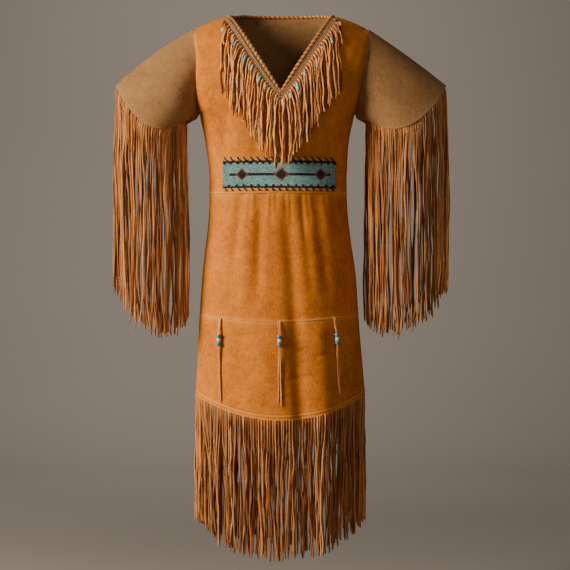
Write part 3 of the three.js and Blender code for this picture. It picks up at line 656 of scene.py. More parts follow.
# Thongs cut from the same hides, deep cognac to pale and then the greyer flesh side.
STRAND_SUEDE = strand_suede(
    "cognac suede thongs",
    [
        (0.0, "#6b3d1b"),
        (0.25, "#935524"),
        (0.5, "#b87438"),
        (0.68, "#c98a4e"),
        (0.78, "#a8774a"),
        (1.0, "#8f633a"),
    ],
)
# Thongs of the neck and the ties: paler and warmer, partly as they are handled more and partly as
# painted light for the light that they catch.
PALE_STRANDS = strand_suede(
    "pale suede thongs", [(0.0, "#7c4822"), (0.3, "#c87f44"), (0.75, "#e0a05e"), (1.0, "#bb8c5c")]
)
# A strip worn close: greyer, with a shorter nap.
BAND_SUEDE = suede("neck band suede", ("#5f4a33", "#7d6448", "#96795a"), nap=0.8)
# Split lace, pulled tight as it was whipped: smooth, with shade painted dark between its turns.
LACE = smooth_leather("split lace", ("#9c6029", "#cc8f50"), 0.75)
# Waxed lace, nearly black and a little glossy.
DARK_LACE = smooth_leather("dark waxed lace", ("#120b07", "#241811"), 0.55)
# Sinew shows pale on the suede, and dark waxed thread sinks into its seams.
THREAD = smooth_leather("sinew thread", ("#c2925c", "#e6be8c"), 0.6)
DARK_THREAD = smooth_leather("dark waxed thread", ("#3a210f", "#5a3519"), 0.6)
# Opaque glass: seed beads that each differ a little in shade, and larger beads on the thongs.
SEED_BEADS = beads_of_glass("opaque seed beads")
PONY_BEADS = beads_of_glass("opaque pony beads")
# The uncut strips that the thongs hang from, painted dark as the shade that falls between the
# thongs.
STRIP_SUEDE_PAINTED_SHADE = suede("strip suede painted with shade", ("#4f2c12", "#6b3e1c", "#85522a"), sheen=0.05)
SUEDE_OF_STRIPS = (STRIP_SUEDE_PAINTED_SHADE, INSIDE_SUEDE, CUT_EDGE)  # outside, inside and cut edges


# ---------- making meshes ----------
RUB_REACH = 5  # how far in from a sheet's edges the wear shows
WELD = 0.00001  # metres within which two points are one


def finish_piece(piece, replaced=()):
    """Hangs a piece from the root, and hides the solids that it stands for."""
    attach(piece, "root")
    if replaced:
        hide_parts(*replaced)
    return piece


def float_attribute(piece, name, values):
    made = piece.data.attributes.new(name, "FLOAT", "POINT")
    made.data.foreach_set("value", np.asarray(values, np.float32).ravel())


def bead_colours(piece, shades):
    """Gives each bead of a piece its shade. shades: one for each bead, in the beads' order."""
    made = piece.data.attributes.new("bead_colour", "FLOAT_COLOR", "POINT")
    count = len(piece.data.vertices) // len(shades)
    made.data.foreach_set("color", np.repeat(shades, count, axis=0).astype(np.float32).ravel())


def border_distance(points, closed):
    """How far each point of a sheet lies from the sheet's border, along its rows and columns."""
    steps = np.linalg.norm(np.diff(points, axis=0), axis=-1)
    up = np.concatenate([np.zeros((1, points.shape[1])), np.cumsum(steps, axis=0)])
    distance = np.minimum(up, up[-1:] - up)
    if not closed:
        steps = np.linalg.norm(np.diff(points, axis=1), axis=-1)
        across = np.concatenate([np.zeros((points.shape[0], 1)), np.cumsum(steps, axis=1)], axis=1)
        distance = np.minimum(distance, np.minimum(across, across[:, -1:] - across))
    return distance


def deselect():
    if bpy.context.object and bpy.context.object.mode != "OBJECT":
        bpy.ops.object.mode_set(mode="OBJECT")
    bpy.ops.object.select_all(action="DESELECT")


def apply_modifier(piece, kind, **settings):
    deselect()
    piece.select_set(True)
    bpy.context.view_layer.objects.active = piece
    made = piece.modifiers.new(kind.lower(), kind)
    for name, value in settings.items():
        setattr(made, name, value)
    bpy.ops.object.modifier_apply(modifier=made.name)


def sheet_mesh(name, points, materials, thickness=WALL, closed=False):
    """A sheet laid on rows and columns of points, which run left to right and upwards as seen from
    outside, with its thickness added inwards. materials: of its outside, inside and cut edges."""
    rows, columns = points.shape[:2]
    deselect()
    bpy.ops.mesh.primitive_grid_add(x_subdivisions=columns - 1, y_subdivisions=rows - 1, size=1)
    piece = bpy.context.object
    piece.name = name
    piece.data.name = name
    for material in materials:
        piece.data.materials.append(material)
    piece.data.vertices.foreach_set("co", (points * MM).ravel())
    float_attribute(piece, "rub", np.exp(-border_distance(points, closed) / RUB_REACH))
    if closed:
        bpy.ops.object.mode_set(mode="EDIT")
        bpy.ops.mesh.select_all(action="SELECT")
        bpy.ops.mesh.remove_doubles(threshold=WELD)
        bpy.ops.object.mode_set(mode="OBJECT")
    apply_modifier(
        piece,
        "SOLIDIFY",
        thickness=thickness * MM,
        offset=-1,
        material_offset=1,
        material_offset_rim=2,
    )
    bpy.ops.object.shade_smooth_by_angle(angle=math.radians(50))
    return piece


def cloth(name, points, replaced, outside, inside, closed=False):
    piece = sheet_mesh(name, points, (outside, inside, CUT_EDGE), closed=closed)
    return finish_piece(piece, replaced)


def model_of(piece):
    """The points and faces of a piece that is modelled once, to be copied. The piece goes."""
    points = np.array([vertex.co for vertex in piece.data.vertices], float)
    faces = [tuple(polygon.vertices) for polygon in piece.data.polygons]
    bpy.data.objects.remove(piece)
    return points, faces


def joined(name, points, faces, material):
    """One mesh of many copies. points: one row of points for each copy, in millimetres."""
    copies, count = points.shape[:2]
    offsets = (np.arange(copies) * count).tolist()
    corners = [tuple(corner + offset for corner in face) for offset in offsets for face in faces]
    mesh = bpy.data.meshes.new(name)
    mesh.from_pydata((points.reshape(-1, 3) * MM).tolist(), [], corners)
    mesh.materials.append(material)
    mesh.shade_smooth()
    piece = bpy.data.objects.new(name, mesh)
    bpy.context.collection.objects.link(piece)
    return piece


def copies_of(name, model, material, centres, x_ways, y_ways, sizes):
    """Copies of a model, each turned so that its own x and y axes point the given ways."""
    points, faces = model
    z_ways = np.cross(x_ways, y_ways)
    sizes = np.broadcast_to(sizes, centres.shape)
    placed = (
        centres[:, None]
        + points[None, :, 0:1] * (x_ways * sizes[:, 0:1])[:, None]
        + points[None, :, 1:2] * (y_ways * sizes[:, 1:2])[:, None]
        + points[None, :, 2:3] * (z_ways * sizes[:, 2:3])[:, None]
    )
    return joined(name, placed, faces, material)


# ---------- thongs ----------
HEXAGON_FLATS = 0.866  # a hexagon's width over its flats, as a share of that over its corners
LAST_RING = 0.985  # the share of a thong's length at which its cut tip begins
TIP_TAPER = 0.6
UNEVEN = 0.35  # how far each root strays from its even place, as a share of their spacing
STRAND_WIDTH, STRAND_THICKNESS = 4.3, 2.2
# how many waves each drift makes along a thong, and its size
WAVES = ((0.5, 0.52), (1.1, 0.3), (2.3, 0.18), (4.1, 0.11))


def thong_model(rings):
    """A thong a unit long, wide and thick: a six-sided section drawn out ring by ring."""
    deselect()
    bpy.ops.mesh.primitive_circle_add(vertices=6, radius=0.5, fill_type="NGON")
    bpy.ops.object.mode_set(mode="EDIT")
    bpy.ops.mesh.select_all(action="SELECT")
    for _ in range(rings):
        bpy.ops.mesh.extrude_region_move(TRANSFORM_OT_translate={"value": (0, 0, -1 / rings)})
    bpy.ops.mesh.select_all(action="SELECT")
    bpy.ops.mesh.normals_make_consistent(inside=False)
    bpy.ops.object.mode_set(mode="OBJECT")
    points, faces = model_of(bpy.context.object)
    ring = np.rint(-points[:, 2] * rings).astype(int)
    return ring, points[:, 1], points[:, 0] / HEXAGON_FLATS, faces


def along_of(centres):
    """The way on at each ring of each thong."""
    return unit(np.gradient(centres, axis=1))


def down_thong(rings):
    """Shares of a thong's length at its rings. The last two lie close, at the cut tip."""
    return np.append(np.linspace(0, LAST_RING, rings), 1.0)


def hang_thongs(name, material, centres, across, width, thickness, twists, own):
    """Thongs laid along lines of points. across: the way across each at its root; twists: how far
    each has turned at each ring; own: the shade of each, from 0 to 1."""
    rings = centres.shape[1] - 1
    ring, wide, thick, faces = thong_model(rings)
    along = along_of(centres)
    side = unit(across - dot(across, along) * along)
    out = np.cross(side, along)
    turned = side * np.cos(twists)[..., None] + out * np.sin(twists)[..., None]
    faced = np.cross(turned, along)
    taper = np.ones(rings + 1)
    taper[-1] = TIP_TAPER
    points = (
        centres[:, ring]
        + turned[:, ring] * (wide * taper[ring] * width)[None, :, None]
        + faced[:, ring] * (thick * taper[ring] * thickness)[None, :, None]
    )
    piece = joined(name, points, faces, material)
    float_attribute(piece, "own", np.repeat(own, len(ring)))
    return piece


def wander(count, rings, seed, neighbours=0):
    """Smooth drifts from -1 to 1 along each thong, none at its root. neighbours: how many thongs
    side by side share part of theirs."""
    rng = np.random.default_rng(seed)
    share = down_thong(rings)
    drift = np.zeros((count, rings + 1))
    for waves, size in WAVES:
        phase = rng.uniform(0, 1, (count, 1))
        drift += size * np.sin(2 * math.pi * (waves * share + phase))
    if neighbours:
        window = np.hanning(neighbours + 2)[1:-1]
        window /= window.sum()
        padded = np.concatenate([drift[-neighbours:], drift, drift[:neighbours]])
        smooth = np.stack([np.convolve(c, window, "same") for c in padded.T], axis=1)
        drift = 0.55 * drift + 1.4 * smooth[neighbours:-neighbours]
    return (drift - drift[:, :1]) * smoothstep(share, 0, 0.4)


def twisting(count, rings, seed, most):
    """How far each thong has turned at each ring, from flat at its root."""
    rng = np.random.default_rng(seed)
    share = down_thong(rings)
    turns = rng.uniform(-most, most, (count, 1)) * share + 0.35 * np.sin(
        2 * math.pi * (rng.uniform(0.8, 1.8, (count, 1)) * share + rng.uniform(0, 1, (count, 1)))
    )
    return (turns - turns[:, :1]) * 2 * math.pi * smoothstep(share, 0, 0.1)


# ---------- bodice, skirt and lower skirt ----------
def ordered(side, turns):
    return turns if side == FRONT else turns[::-1]


def neck_turn_at_points():
    """The turn at which the neck points stand."""
    return math.asin(NECK_HALF / figure_at(0, "half"))


def bodice_points(side):
    neck_turn = neck_turn_at_points()
    inside = neck_turn * np.sin(np.linspace(0, math.pi / 2, 44))  # closer by the neck point
    outside = np.linspace(neck_turn, math.pi / 2, 30)[1:]
    half = np.concatenate([inside, outside])
    turns = ordered(side, np.concatenate([-half[:0:-1], half]))
    chest = np.linspace(WAIST, UNDERARM, 44)[:-1]
    share = np.linspace(0, 1, 72)[:, None]
    top = np.where(np.abs(turns) > math.radians(89.9), -SHOULDER_DROP, top_of(side, turns))
    outward = smoothstep(np.abs(turns), math.radians(50), math.radians(90))
    run = lerp(np.sin(math.pi / 2 * share), (1 - np.cos(math.pi * share)) / 2, outward)
    upper = lerp(float(UNDERARM), top, run)
    levels = np.concatenate([np.repeat(chest[:, None], len(turns), axis=1), upper])
    return body_point(side, turns[None, :], levels)


def panel_points(side, columns, rows, top, foot):
    turns = ordered(side, np.linspace(-math.pi / 2, math.pi / 2, columns + 1))
    levels = lerp(foot(turns), top(turns), np.linspace(0, 1, rows + 1)[:, None])
    return body_point(side, turns[None, :], levels)


def waist_at(turn):
    return np.full(np.shape(turn), float(WAIST))


for place, side in SIDES:
    for part, points in (
        ("bodice", bodice_points(side)),
        ("skirt", panel_points(side, 200, 96, waist_at, hip_at)),
        ("skirt_lower", panel_points(side, 160, 70, hip_at, hem_at)),
    ):
        cloth(
            f"suede_{part}_{place}",
            points,
            [f"{part}_{place}"],
            COGNAC_SUEDE,
            INSIDE_SUEDE,
        )


# ---------- sleeves ----------
CUFF_CENTRE = np.array([297.5, 0, -201.5])
CUFF_HALF = np.array([89.5, 0, 38.5])
CUFF_HALF_DEPTH, CUFF_DROP = 88, 62
CUFF_LEAN = -11  # the cuffs' lower corners lie this far to the wearer's right
# how far each sleeve bows out between the armhole and the cuff: along its top fold, at its front
# and back, and along its underside
SLEEVE_SWELL = {LEFT: (3, 9, 6), RIGHT: (8, 9, 6)}
SLEEVE_OUT, SLEEVE_UP = 0.58, 0.81  # the way in which the top fold bows
# place: where a dent lies, as a share of the way from the armhole to the cuff; turn: degrees round
# from the top fold to the front; reach, round: how far the dent goes along and round the sleeve, as
# a share of its length and in degrees
SLEEVE_DENTS = [
    {"place": 0.25, "turn": 120, "depth": 2.2, "reach": 0.16, "round": 22},
    {"place": 0.55, "turn": 70, "depth": 1.8, "reach": 0.2, "round": 26},
    {"place": 0.45, "turn": 150, "depth": 2.4, "reach": 0.25, "round": 16},
    {"place": 0.7, "turn": 110, "depth": 1.5, "reach": 0.18, "round": 20},
    {"place": 0.35, "turn": 240, "depth": 2.4, "reach": 0.2, "round": 22},
    {"place": 0.6, "turn": 290, "depth": 1.8, "reach": 0.2, "round": 24},
    {"place": 0.15, "turn": 180, "depth": 3.0, "reach": 0.14, "round": 16},
]


def cuff_point(hand, turn):
    side, top = np.sin(turn)[..., None], np.cos(turn)[..., None]
    return (
        CUFF_CENTRE
        + CUFF_HALF * top
        + np.array([hand * CUFF_LEAN, 0, 0]) * (1 - top) / 2
        + np.array([0, -CUFF_HALF_DEPTH, 0]) * side
        + np.array([0, 0, -CUFF_DROP]) * side**2
    )


def sleeve_point(hand, turn, share):
    """turn is 0 at the top fold and a quarter turn at the front. share runs on to the cuff."""
    turn, share = np.broadcast_arrays(np.asarray(turn, float), np.asarray(share, float))
    middle = (UNDERARM - SHOULDER_DROP) / 2
    level = middle - (SHOULDER_DROP + UNDERARM) / 2 * np.cos(turn)
    edge = figure_at(level, "half") + hand * figure_at(level, "lean")
    start = vectors(edge, -ARMHOLE_HALF_DEPTH * np.sin(turn), level)
    outward = vectors(SLEEVE_OUT * np.cos(turn), -np.sin(turn), SLEEVE_UP * np.cos(turn))
    crown, sides, underside = SLEEVE_SWELL[hand]
    fold = np.where(np.cos(turn) > 0, crown, underside)
    swell = lerp(sides, fold, np.abs(np.cos(turn))) * np.sin(math.pi * share)
    for dent in SLEEVE_DENTS:
        away = (np.degrees(turn) % 360 - dent["turn"]) / dent["round"]
        along = (share - dent["place"]) / dent["reach"]
        swell = swell - dent["depth"] * np.exp(-(away**2) - along**2)
    point = lerp(start, cuff_point(hand, turn), share[..., None]) + outward * swell[..., None]
    return point * np.array([hand, 1, 1])


def sleeve_points(hand, columns=120, rows=44):
    turns = -hand * np.linspace(0, 2 * math.pi, columns + 1)
    return sleeve_point(hand, turns[None, :], np.linspace(0, 1, rows + 1)[:, None])


for place, hand in HANDS:
    cloth(
        f"suede_sleeve_{place}",
        sleeve_points(hand),
        [f"sleeve_{place}"],
        FLESH_SUEDE,
        INSIDE_SUEDE,
        closed=True,
    )


# ---------- hem fringe ----------
HEM_STRANDS = 196  # on the front, and as many on the back
HEM_INNER_ROW = 3.0  # every second strand hangs this far behind the others
HEM_STRIP = 8  # how far the uncut strip shows below the hem
HEM_LENGTH, HEM_SHORTER = 308, 22  # at the centre, and how much less at the side seams
HEM_DRIFT, HEM_SWAY = 4.6, 2.8  # sideways, and to and fro
HEM_DRAWN_IN = 0.02  # the fringe hangs in by this share towards its tips
HEADING_THICKNESS = 1.2
# the strip's rows from its foot up: how far below the hem's edge, and how far inside its outer face
HEADING_DROPS = (HEM_STRIP, 4.0, 0.0, -6.0)
HEADING_DEPTHS = (0.2, 0.9, 1.9, 1.9)


def hem_fringe(side, rings=16):
    rng = np.random.default_rng(20 + side)
    turns = np.radians(np.linspace(-89.3, 89.3, HEM_STRANDS))
    turns += rng.uniform(-UNEVEN, UNEVEN, HEM_STRANDS) * (turns[1] - turns[0])
    turns = np.clip(turns, math.radians(-89.6), math.radians(89.6))
    level = hem_at(turns)
    out = way_out(side, turns, level)
    across = np.cross(out, [0, 0, 1.0])
    behind = HEM_INNER_ROW * (np.arange(HEM_STRANDS) % 2)
    root = body_point(side, turns, level) - out * (WALL / 2 + 0.3 * behind)[:, None]
    root = root + np.array([0, 0, 2.0])
    length = HEM_LENGTH + HEM_STRIP - HEM_SHORTER * np.sin(turns) ** 4
    length = length + rng.uniform(-14, 9, HEM_STRANDS)
    share = down_thong(rings)
    inwards = behind[:, None] * smoothstep(share, 0, 0.1)
    centres = (
        root[:, None]
        - np.array([0, 0, 1.0]) * (length[:, None] * share)[..., None]
        + across[:, None] * (HEM_DRIFT * wander(HEM_STRANDS, rings, 31 + side, 2))[..., None]
        + out[:, None] * (HEM_SWAY * wander(HEM_STRANDS, rings, 41 + side, 3) - inwards)[..., None]
    )
    centres[..., 0] *= 1 - HEM_DRAWN_IN * share
    return hang_thongs(
        f"thongs_hem_{'front' if side == FRONT else 'back'}",
        STRAND_SUEDE,
        centres,
        across[:, None],
        STRAND_WIDTH,
        STRAND_THICKNESS,
        twisting(HEM_STRANDS, rings, 51 + side, 0.7),
        # the inner row's strands take only the darker shades: painted shade, for the shadow behind
        # the front row
        rng.uniform(0, 1, HEM_STRANDS) * np.where(behind > 0, 0.35, 1.0),
    )


def hem_strip(side):
    """The uncut heading of the fringe, tucked behind the hem."""
    turns = ordered(side, np.radians(np.linspace(-89.6, 89.6, 140)))
    level = hem_at(turns)[None, :]
    return (
        body_point(side, turns[None, :], level)
        - way_out(side, turns[None, :], level) * np.array(HEADING_DEPTHS)[:, None, None]
        - np.array([0, 0, 1.0]) * np.array(HEADING_DROPS)[:, None, None]
    )


for place, side in SIDES:
    thongs = hem_fringe(side)
    finish_piece(thongs, [f"hem_fringe_{place}"])
    heading = sheet_mesh(
        f"heading_hem_{place}", hem_strip(side), SUEDE_OF_STRIPS, HEADING_THICKNESS
    )
    finish_piece(heading)


# ---------- sleeve fringe ----------
CUFF_STRANDS = 138
CUFF_LENGTH = 479
CUFF_DRIFT, CUFF_SWAY = 4.8, 3.8
CUFF_BEND = 4.5  # over this length a thong leaves the cuff's slope and hangs plumb
TIP_CURL = 9  # the most that a tip curls sideways


def cuff_fringe(hand, rings=20):
    place = "left" if hand == LEFT else "right"
    rng = np.random.default_rng(60 + hand)
    turns = np.linspace(0, 2 * math.pi, CUFF_STRANDS, endpoint=False)
    turns = turns + rng.uniform(-UNEVEN, UNEVEN, CUFF_STRANDS) * turns[1]
    edge = sleeve_point(hand, turns, np.ones(CUFF_STRANDS))
    before = sleeve_point(hand, turns, np.full(CUFF_STRANDS, 0.97))
    leaving = unit(edge - before)
    out = unit(
        vectors(hand * np.cos(turns) / CUFF_HALF[0], -np.sin(turns) / CUFF_HALF_DEPTH, 0.0)
    )
    across = np.cross(out, [0, 0, 1.0])
    length = CUFF_LENGTH + rng.uniform(-16, 8, CUFF_STRANDS)
    share = down_thong(rings) ** 1.2
    fallen = length[:, None] * share
    onward = CUFF_BEND * (1 - np.exp(-fallen / CUFF_BEND))
    curl = rng.uniform(-TIP_CURL, TIP_CURL, (CUFF_STRANDS, 1)) * smoothstep(share, 0.84, 1)
    drift = CUFF_DRIFT * wander(CUFF_STRANDS, rings, 71 + hand, 2) + curl
    sway = CUFF_SWAY * wander(CUFF_STRANDS, rings, 81 + hand, 3)
    centres = (
        (edge - leaving * 2.5 - out * 1.2)[:, None]
        + leaving[:, None] * onward[..., None]
        - np.array([0, 0, 1.0]) * (fallen - 0.55 * onward)[..., None]
        + across[:, None] * drift[..., None]
        + out[:, None] * sway[..., None]
    )
    return hang_thongs(
        f"thongs_sleeve_{place}",
        STRAND_SUEDE,
        centres,
        across[:, None],
        STRAND_WIDTH,
        STRAND_THICKNESS,
        twisting(CUFF_STRANDS, rings, 91 + hand, 0.8),
        rng.uniform(0, 1, CUFF_STRANDS),
    )


for place, hand in HANDS:
    thongs = cuff_fringe(hand)
    finish_piece(thongs, [f"sleeve_fringe_{place}"])


# ---------- neck band and its fringe ----------
V_LENGTH = math.hypot(NECK_HALF, V_LEVEL)
V_ALONG = (NECK_HALF / V_LENGTH, -V_LEVEL / V_LENGTH)  # up the V's edge: across, level
V_AWAY = (V_ALONG[1], -V_ALONG[0])  # away from the V's edge, across the bodice
# where the centre line is met along the V's edge, for each millimetre away from the edge
V_CENTRE = -V_AWAY[0] / V_ALONG[0]
CENTRE_GAP = 0.15  # what is sewn beside the V stops this far from the centre line
# where the band starts beside the edge, its width at the V's lowest point, its full width, and how
# far along the edge it takes to widen
BAND_FROM, BAND_LOWEST, BAND_FULL, BAND_TAPER = 0.6, 5, 10, 70
BAND_LIFT, HEADING_LIFT, HEADING_TUCK = 2.4, 1.9, 1.5
NECK_REACH = V_LENGTH - 9
NECK_STRIP = 6


def beside_v(hand, along, away):
    """Places on the bodice beside the V, which stop at the centre line."""
    run = np.maximum(along, (CENTRE_GAP - V_AWAY[0] * away) / V_ALONG[0])
    x = hand * (V_ALONG[0] * run + V_AWAY[0] * away)
    return x, V_LEVEL + V_ALONG[1] * run + V_AWAY[1] * away


def band_start(along):
    return np.full(np.shape(along), BAND_FROM)


def band_to(along):
    return BAND_FROM + lerp(BAND_LOWEST, BAND_FULL, smoothstep(along, 0, BAND_TAPER))


def above_bodice(x, level, lift):
    """Places above the bodice, with more room where it rounds to the shoulder."""
    return on_front(x, level, lift + 0.6 * smoothstep(level, -80, -45))


def strip_beside_v(hand, start, end, lift, rows=5):
    """Rows and columns of points on a strip beside the V, between two distances from its edge."""
    share = 1 - (1 - np.linspace(0, 1, 90)) ** 1.7
    share = share if hand == LEFT else share[::-1]
    width = np.linspace(1, 0, rows)[:, None]
    away = lerp(start(NECK_REACH * share), end(NECK_REACH * share), width)
    x, level = beside_v(hand, lerp(V_CENTRE * away, NECK_REACH, share), away)
    return above_bodice(x, level, lift)[0]


for place, hand in HANDS:
    band_points = strip_beside_v(hand, band_start, band_to, BAND_LIFT)
    band = sheet_mesh(f"band_neck_{place}", band_points, (BAND_SUEDE, INSIDE_SUEDE, CUT_EDGE))
    finish_piece(band, [f"neck_band_{place}"])
    heading_points = strip_beside_v(
        hand,
        lambda along: band_to(along) - HEADING_TUCK,
        lambda along: band_to(along) + NECK_STRIP,
        HEADING_LIFT,
        rows=4,
    )
    heading = sheet_mesh(
        f"heading_neck_{place}", heading_points, SUEDE_OF_STRIPS, HEADING_THICKNESS
    )
    finish_piece(heading)


NECK_STRANDS = 56  # on each side; every second one lies behind the others
NECK_STRAND_WIDTH = 4.7
NECK_LENGTH = 154
NECK_ROOT = 1.0  # how far outside the band the thongs leave the strip
NECK_DRIFT, NECK_SWAY = 3.6, 0.8
NECK_LIFT, LAYER_LIFT = 2.2, 2.2
# the last thongs by the shoulder are shorter, and turn further outwards
LAST_LENGTHS = (0.7, 0.55, 0.4, 0.3)
LAST_TURNS = (0.1, 0.2, 0.35, 0.5)


def neck_fringe_lines(hand, rings=18):
    """The middle lines of the neck's thongs and the way across each."""
    rng = np.random.default_rng(110 + hand)
    share = (np.arange(NECK_STRANDS) + 0.5) / NECK_STRANDS
    away = band_to(NECK_REACH * share) + NECK_ROOT
    x, level = beside_v(hand, lerp(V_CENTRE * away, NECK_REACH - 5, share), away)
    length = NECK_LENGTH + rng.uniform(-9, 9, NECK_STRANDS)
    length[-len(LAST_LENGTHS) :] *= LAST_LENGTHS
    first = math.atan2(V_AWAY[0], -V_AWAY[1]) + rng.uniform(-0.15, 0.25, NECK_STRANDS)
    first = first * smoothstep(share, -0.1, 0.25)
    first[-len(LAST_TURNS) :] += LAST_TURNS
    run = down_thong(rings) ** 1.15 * length[:, None]
    bend = rng.uniform(6, 11, NECK_STRANDS)[:, None]
    angle = first[:, None] * np.exp(-run / bend) + 0.05 * share[:, None] ** 2
    steps = np.diff(run, axis=1)
    middle = (angle[:, 1:] + angle[:, :-1]) / 2
    none_yet = np.zeros((NECK_STRANDS, 1))
    sideways = np.concatenate([none_yet, np.cumsum(steps * np.sin(middle), 1)], 1)
    fall = np.concatenate([none_yet, np.cumsum(steps * np.cos(middle), 1)], 1)
    drift = NECK_DRIFT * wander(NECK_STRANDS, rings, 121 + hand, 3)
    layer = np.where(np.arange(NECK_STRANDS) % 2, 0.0, 1.0 + np.arange(NECK_STRANDS) % 3 / 2)
    lift = NECK_LIFT + LAYER_LIFT * layer[:, None] * smoothstep(run, 0, 30)
    arch = 1.6 * np.exp(-(((run - 9) / 7) ** 2))  # each thong stands up a little where it turns
    lift = lift + arch + NECK_SWAY * wander(NECK_STRANDS, rings, 131 + hand)
    points, normals = on_front(x[:, None] + hand * sideways + drift, level[:, None] - fall, lift)
    points[..., 1] = np.minimum.accumulate(points[..., 1], axis=1)
    return points, np.cross(normals, along_of(points))


NECK_LINES = {}
for place, hand in HANDS:
    lines, across = neck_fringe_lines(hand)
    NECK_LINES[place] = lines
    rings = lines.shape[1] - 1
    shades = np.random.default_rng(151 + hand).uniform(0.3, 1, NECK_STRANDS)
    thongs = hang_thongs(
        f"thongs_neck_{place}",
        PALE_STRANDS,
        lines,
        across,
        NECK_STRAND_WIDTH,
        STRAND_THICKNESS,
        twisting(NECK_STRANDS, rings, 141 + hand, 0.5),
        # the strands that lie behind take the darkest shade: painted shade, for the shadow under
        # the front layer
        np.where(np.arange(NECK_STRANDS) % 2, 0.0, shades),
    )
    finish_piece(thongs, [f"neck_fringe_{place}"])


# ---------- neck binding ----------
# radius of the rolled edge along the V, at the V's lowest point, at the neck points and at the back
BINDING = {"sides": 5.0, "lowest": 4.0, "corner": 4.6, "back": 4.2}
WRAP_PITCH = 11.5
BINDING_STEP = 1.1  # between the rings of its mesh
BINDING_OUT = 0.92  # how far its middle lies beyond the cut edge, as a share of its radius
GROOVE_SHARE, RIDGE_SHARE = 0.70, 0.34  # its radius between the turns, and what each turn adds
BINDING_FLAT = 0.85  # its thickness as a share of its width


def neck_loop():
    """The neck's cut edge all round, from the wearer's right neck point along the V and home round
    the back: points, ways out and the radius of the binding."""
    neck_turn = neck_turn_at_points()
    places, normals, radii = [], [], []
    for side in (FRONT, BACK):
        turns = ordered(side, neck_turn * np.sin(np.linspace(-math.pi / 2, math.pi / 2, 121)))
        level = top_of(side, turns)
        normal = body_normal(side, turns, level)
        normal[[0, -1]] = (0, 0, 1)
        opening = smoothstep(level, V_LEVEL + 5, V_LEVEL + 60)
        radius = lerp(BINDING["lowest"], BINDING["sides"], opening)
        radius = lerp(radius, BINDING["corner"], smoothstep(level, -20, 0))
        if side == BACK:
            radius = np.full(len(turns), BINDING["back"])
        places.append(body_point(side, turns, level)[:-1])
        normals.append(normal[:-1])
        radii.append(radius[:-1])
    return np.concatenate(places), np.concatenate(normals), np.concatenate(radii)


def evenly(line, step):
    """Numbers along a closed line, in points, at even steps of its length."""
    closed = np.concatenate([line, line[:1]])
    run = np.concatenate([[0], np.cumsum(np.linalg.norm(np.diff(closed, axis=0), axis=1))])
    count = int(run[-1] / step)
    return np.interp(np.arange(count) / count * run[-1], run, np.arange(len(closed))), run[-1]


def sampled(values, places):
    """Values of a closed line at numbers along it."""
    closed = np.concatenate([values, values[:1]])
    stops = np.arange(len(closed))
    return np.stack([np.interp(places, stops, column) for column in closed.T], axis=-1)


def neck_binding(sides=14):
    """A rolled edge whipped all round with lace, whose turns stand up like a rope's strands."""
    edge, normals, radii = neck_loop()
    places, length = evenly(edge, BINDING_STEP)
    point = sampled(edge, places)
    normal = unit(sampled(normals, places))
    radius = sampled(radii[:, None], places)[:, 0]
    ahead = unit(np.roll(point, -2, axis=0) - np.roll(point, 2, axis=0))
    away = unit(np.cross(normal, ahead))
    away *= np.where(dot(away, point * np.array([1, 1, 0])) > 0, -1, 1)
    away[away[:, 2] < -0.9] *= -1
    normal = unit(np.cross(ahead, away) * np.sign(dot(np.cross(ahead, away), normal)))
    middle = point - normal * WALL / 2 + away * (radius * BINDING_OUT)[:, None]
    wraps = round(length / WRAP_PITCH)
    run = np.arange(len(point)) / len(point) * wraps
    angle = 2 * math.pi * np.arange(sides) / sides
    turn = run[:, None] - angle[None, :] / (2 * math.pi)
    ridge = np.abs(np.sin(math.pi * turn)) ** 0.7
    across = radius[:, None] * (GROOVE_SHARE + RIDGE_SHARE * ridge)
    points = (
        middle[:, None]
        + away[:, None] * (across * np.cos(angle))[..., None]
        + normal[:, None] * (BINDING_FLAT * across * np.sin(angle))[..., None]
    )
    rows, columns = points.shape[:2]
    rolled = np.concatenate([points, points[:1]])
    rolled = np.concatenate([rolled, rolled[:, :1]], axis=1)
    deselect()
    bpy.ops.mesh.primitive_grid_add(x_subdivisions=columns, y_subdivisions=rows, size=1)
    piece = bpy.context.object
    piece.name = "lace_neck_binding"
    piece.data.materials.append(LACE)
    piece.data.vertices.foreach_set("co", (rolled * MM).ravel())
    # what lies between the turns of lace is marked for painted shade
    groove_shade = np.concatenate([ridge, ridge[:1]])
    groove_shade = 1 - np.concatenate([groove_shade, groove_shade[:, :1]], axis=1)
    float_attribute(piece, "groove_shade", groove_shade)
    bpy.ops.object.mode_set(mode="EDIT")
    bpy.ops.mesh.select_all(action="SELECT")
    bpy.ops.mesh.remove_doubles(threshold=WELD)
    bpy.ops.mesh.normals_make_consistent(inside=False)
    bpy.ops.object.mode_set(mode="OBJECT")
    piece.data.shade_smooth()
    return finish_piece(piece, ["neck_binding"])


neck_binding()


# ---------- beaded belt panel ----------
BELT_START, BELT_END, BELT_TOP, BELT_FOOT = -134, 127, -344, -406
BEAD_PITCH = 2.0
BEAD_SIZE = (2.2, 2.0, 2.0)
BEAD_LIFT, BACKING_LIFT = 2.6, 1.9
BEAD_TONES = {
    "ground": "#8cc0bd",
    "ground_light": "#aad6d0",
    "ground_deep": "#70a8a8",
    "black": "#100c0a",
    "brown": "#231410",
    "red": "#a04a38",
}
GROUND_MIX = ("ground", "ground", "ground_light", "ground_deep")
# x: the middle of each diamond; half_width, half_height: its size
DIAMONDS = [
    {"x": -89, "half_width": 15, "half_height": 14},
    {"x": 1.5, "half_width": 19, "half_height": 16},
    {"x": 90.5, "half_width": 15, "half_height": 14.5},
]
DIAMOND_CORE = 0.72  # the share of a diamond that is brown
CENTRE_LINE, CENTRE_LINE_HALF = (-119, 114), 2.4
BORDER = 4.0  # the black rows at the panel's top and foot
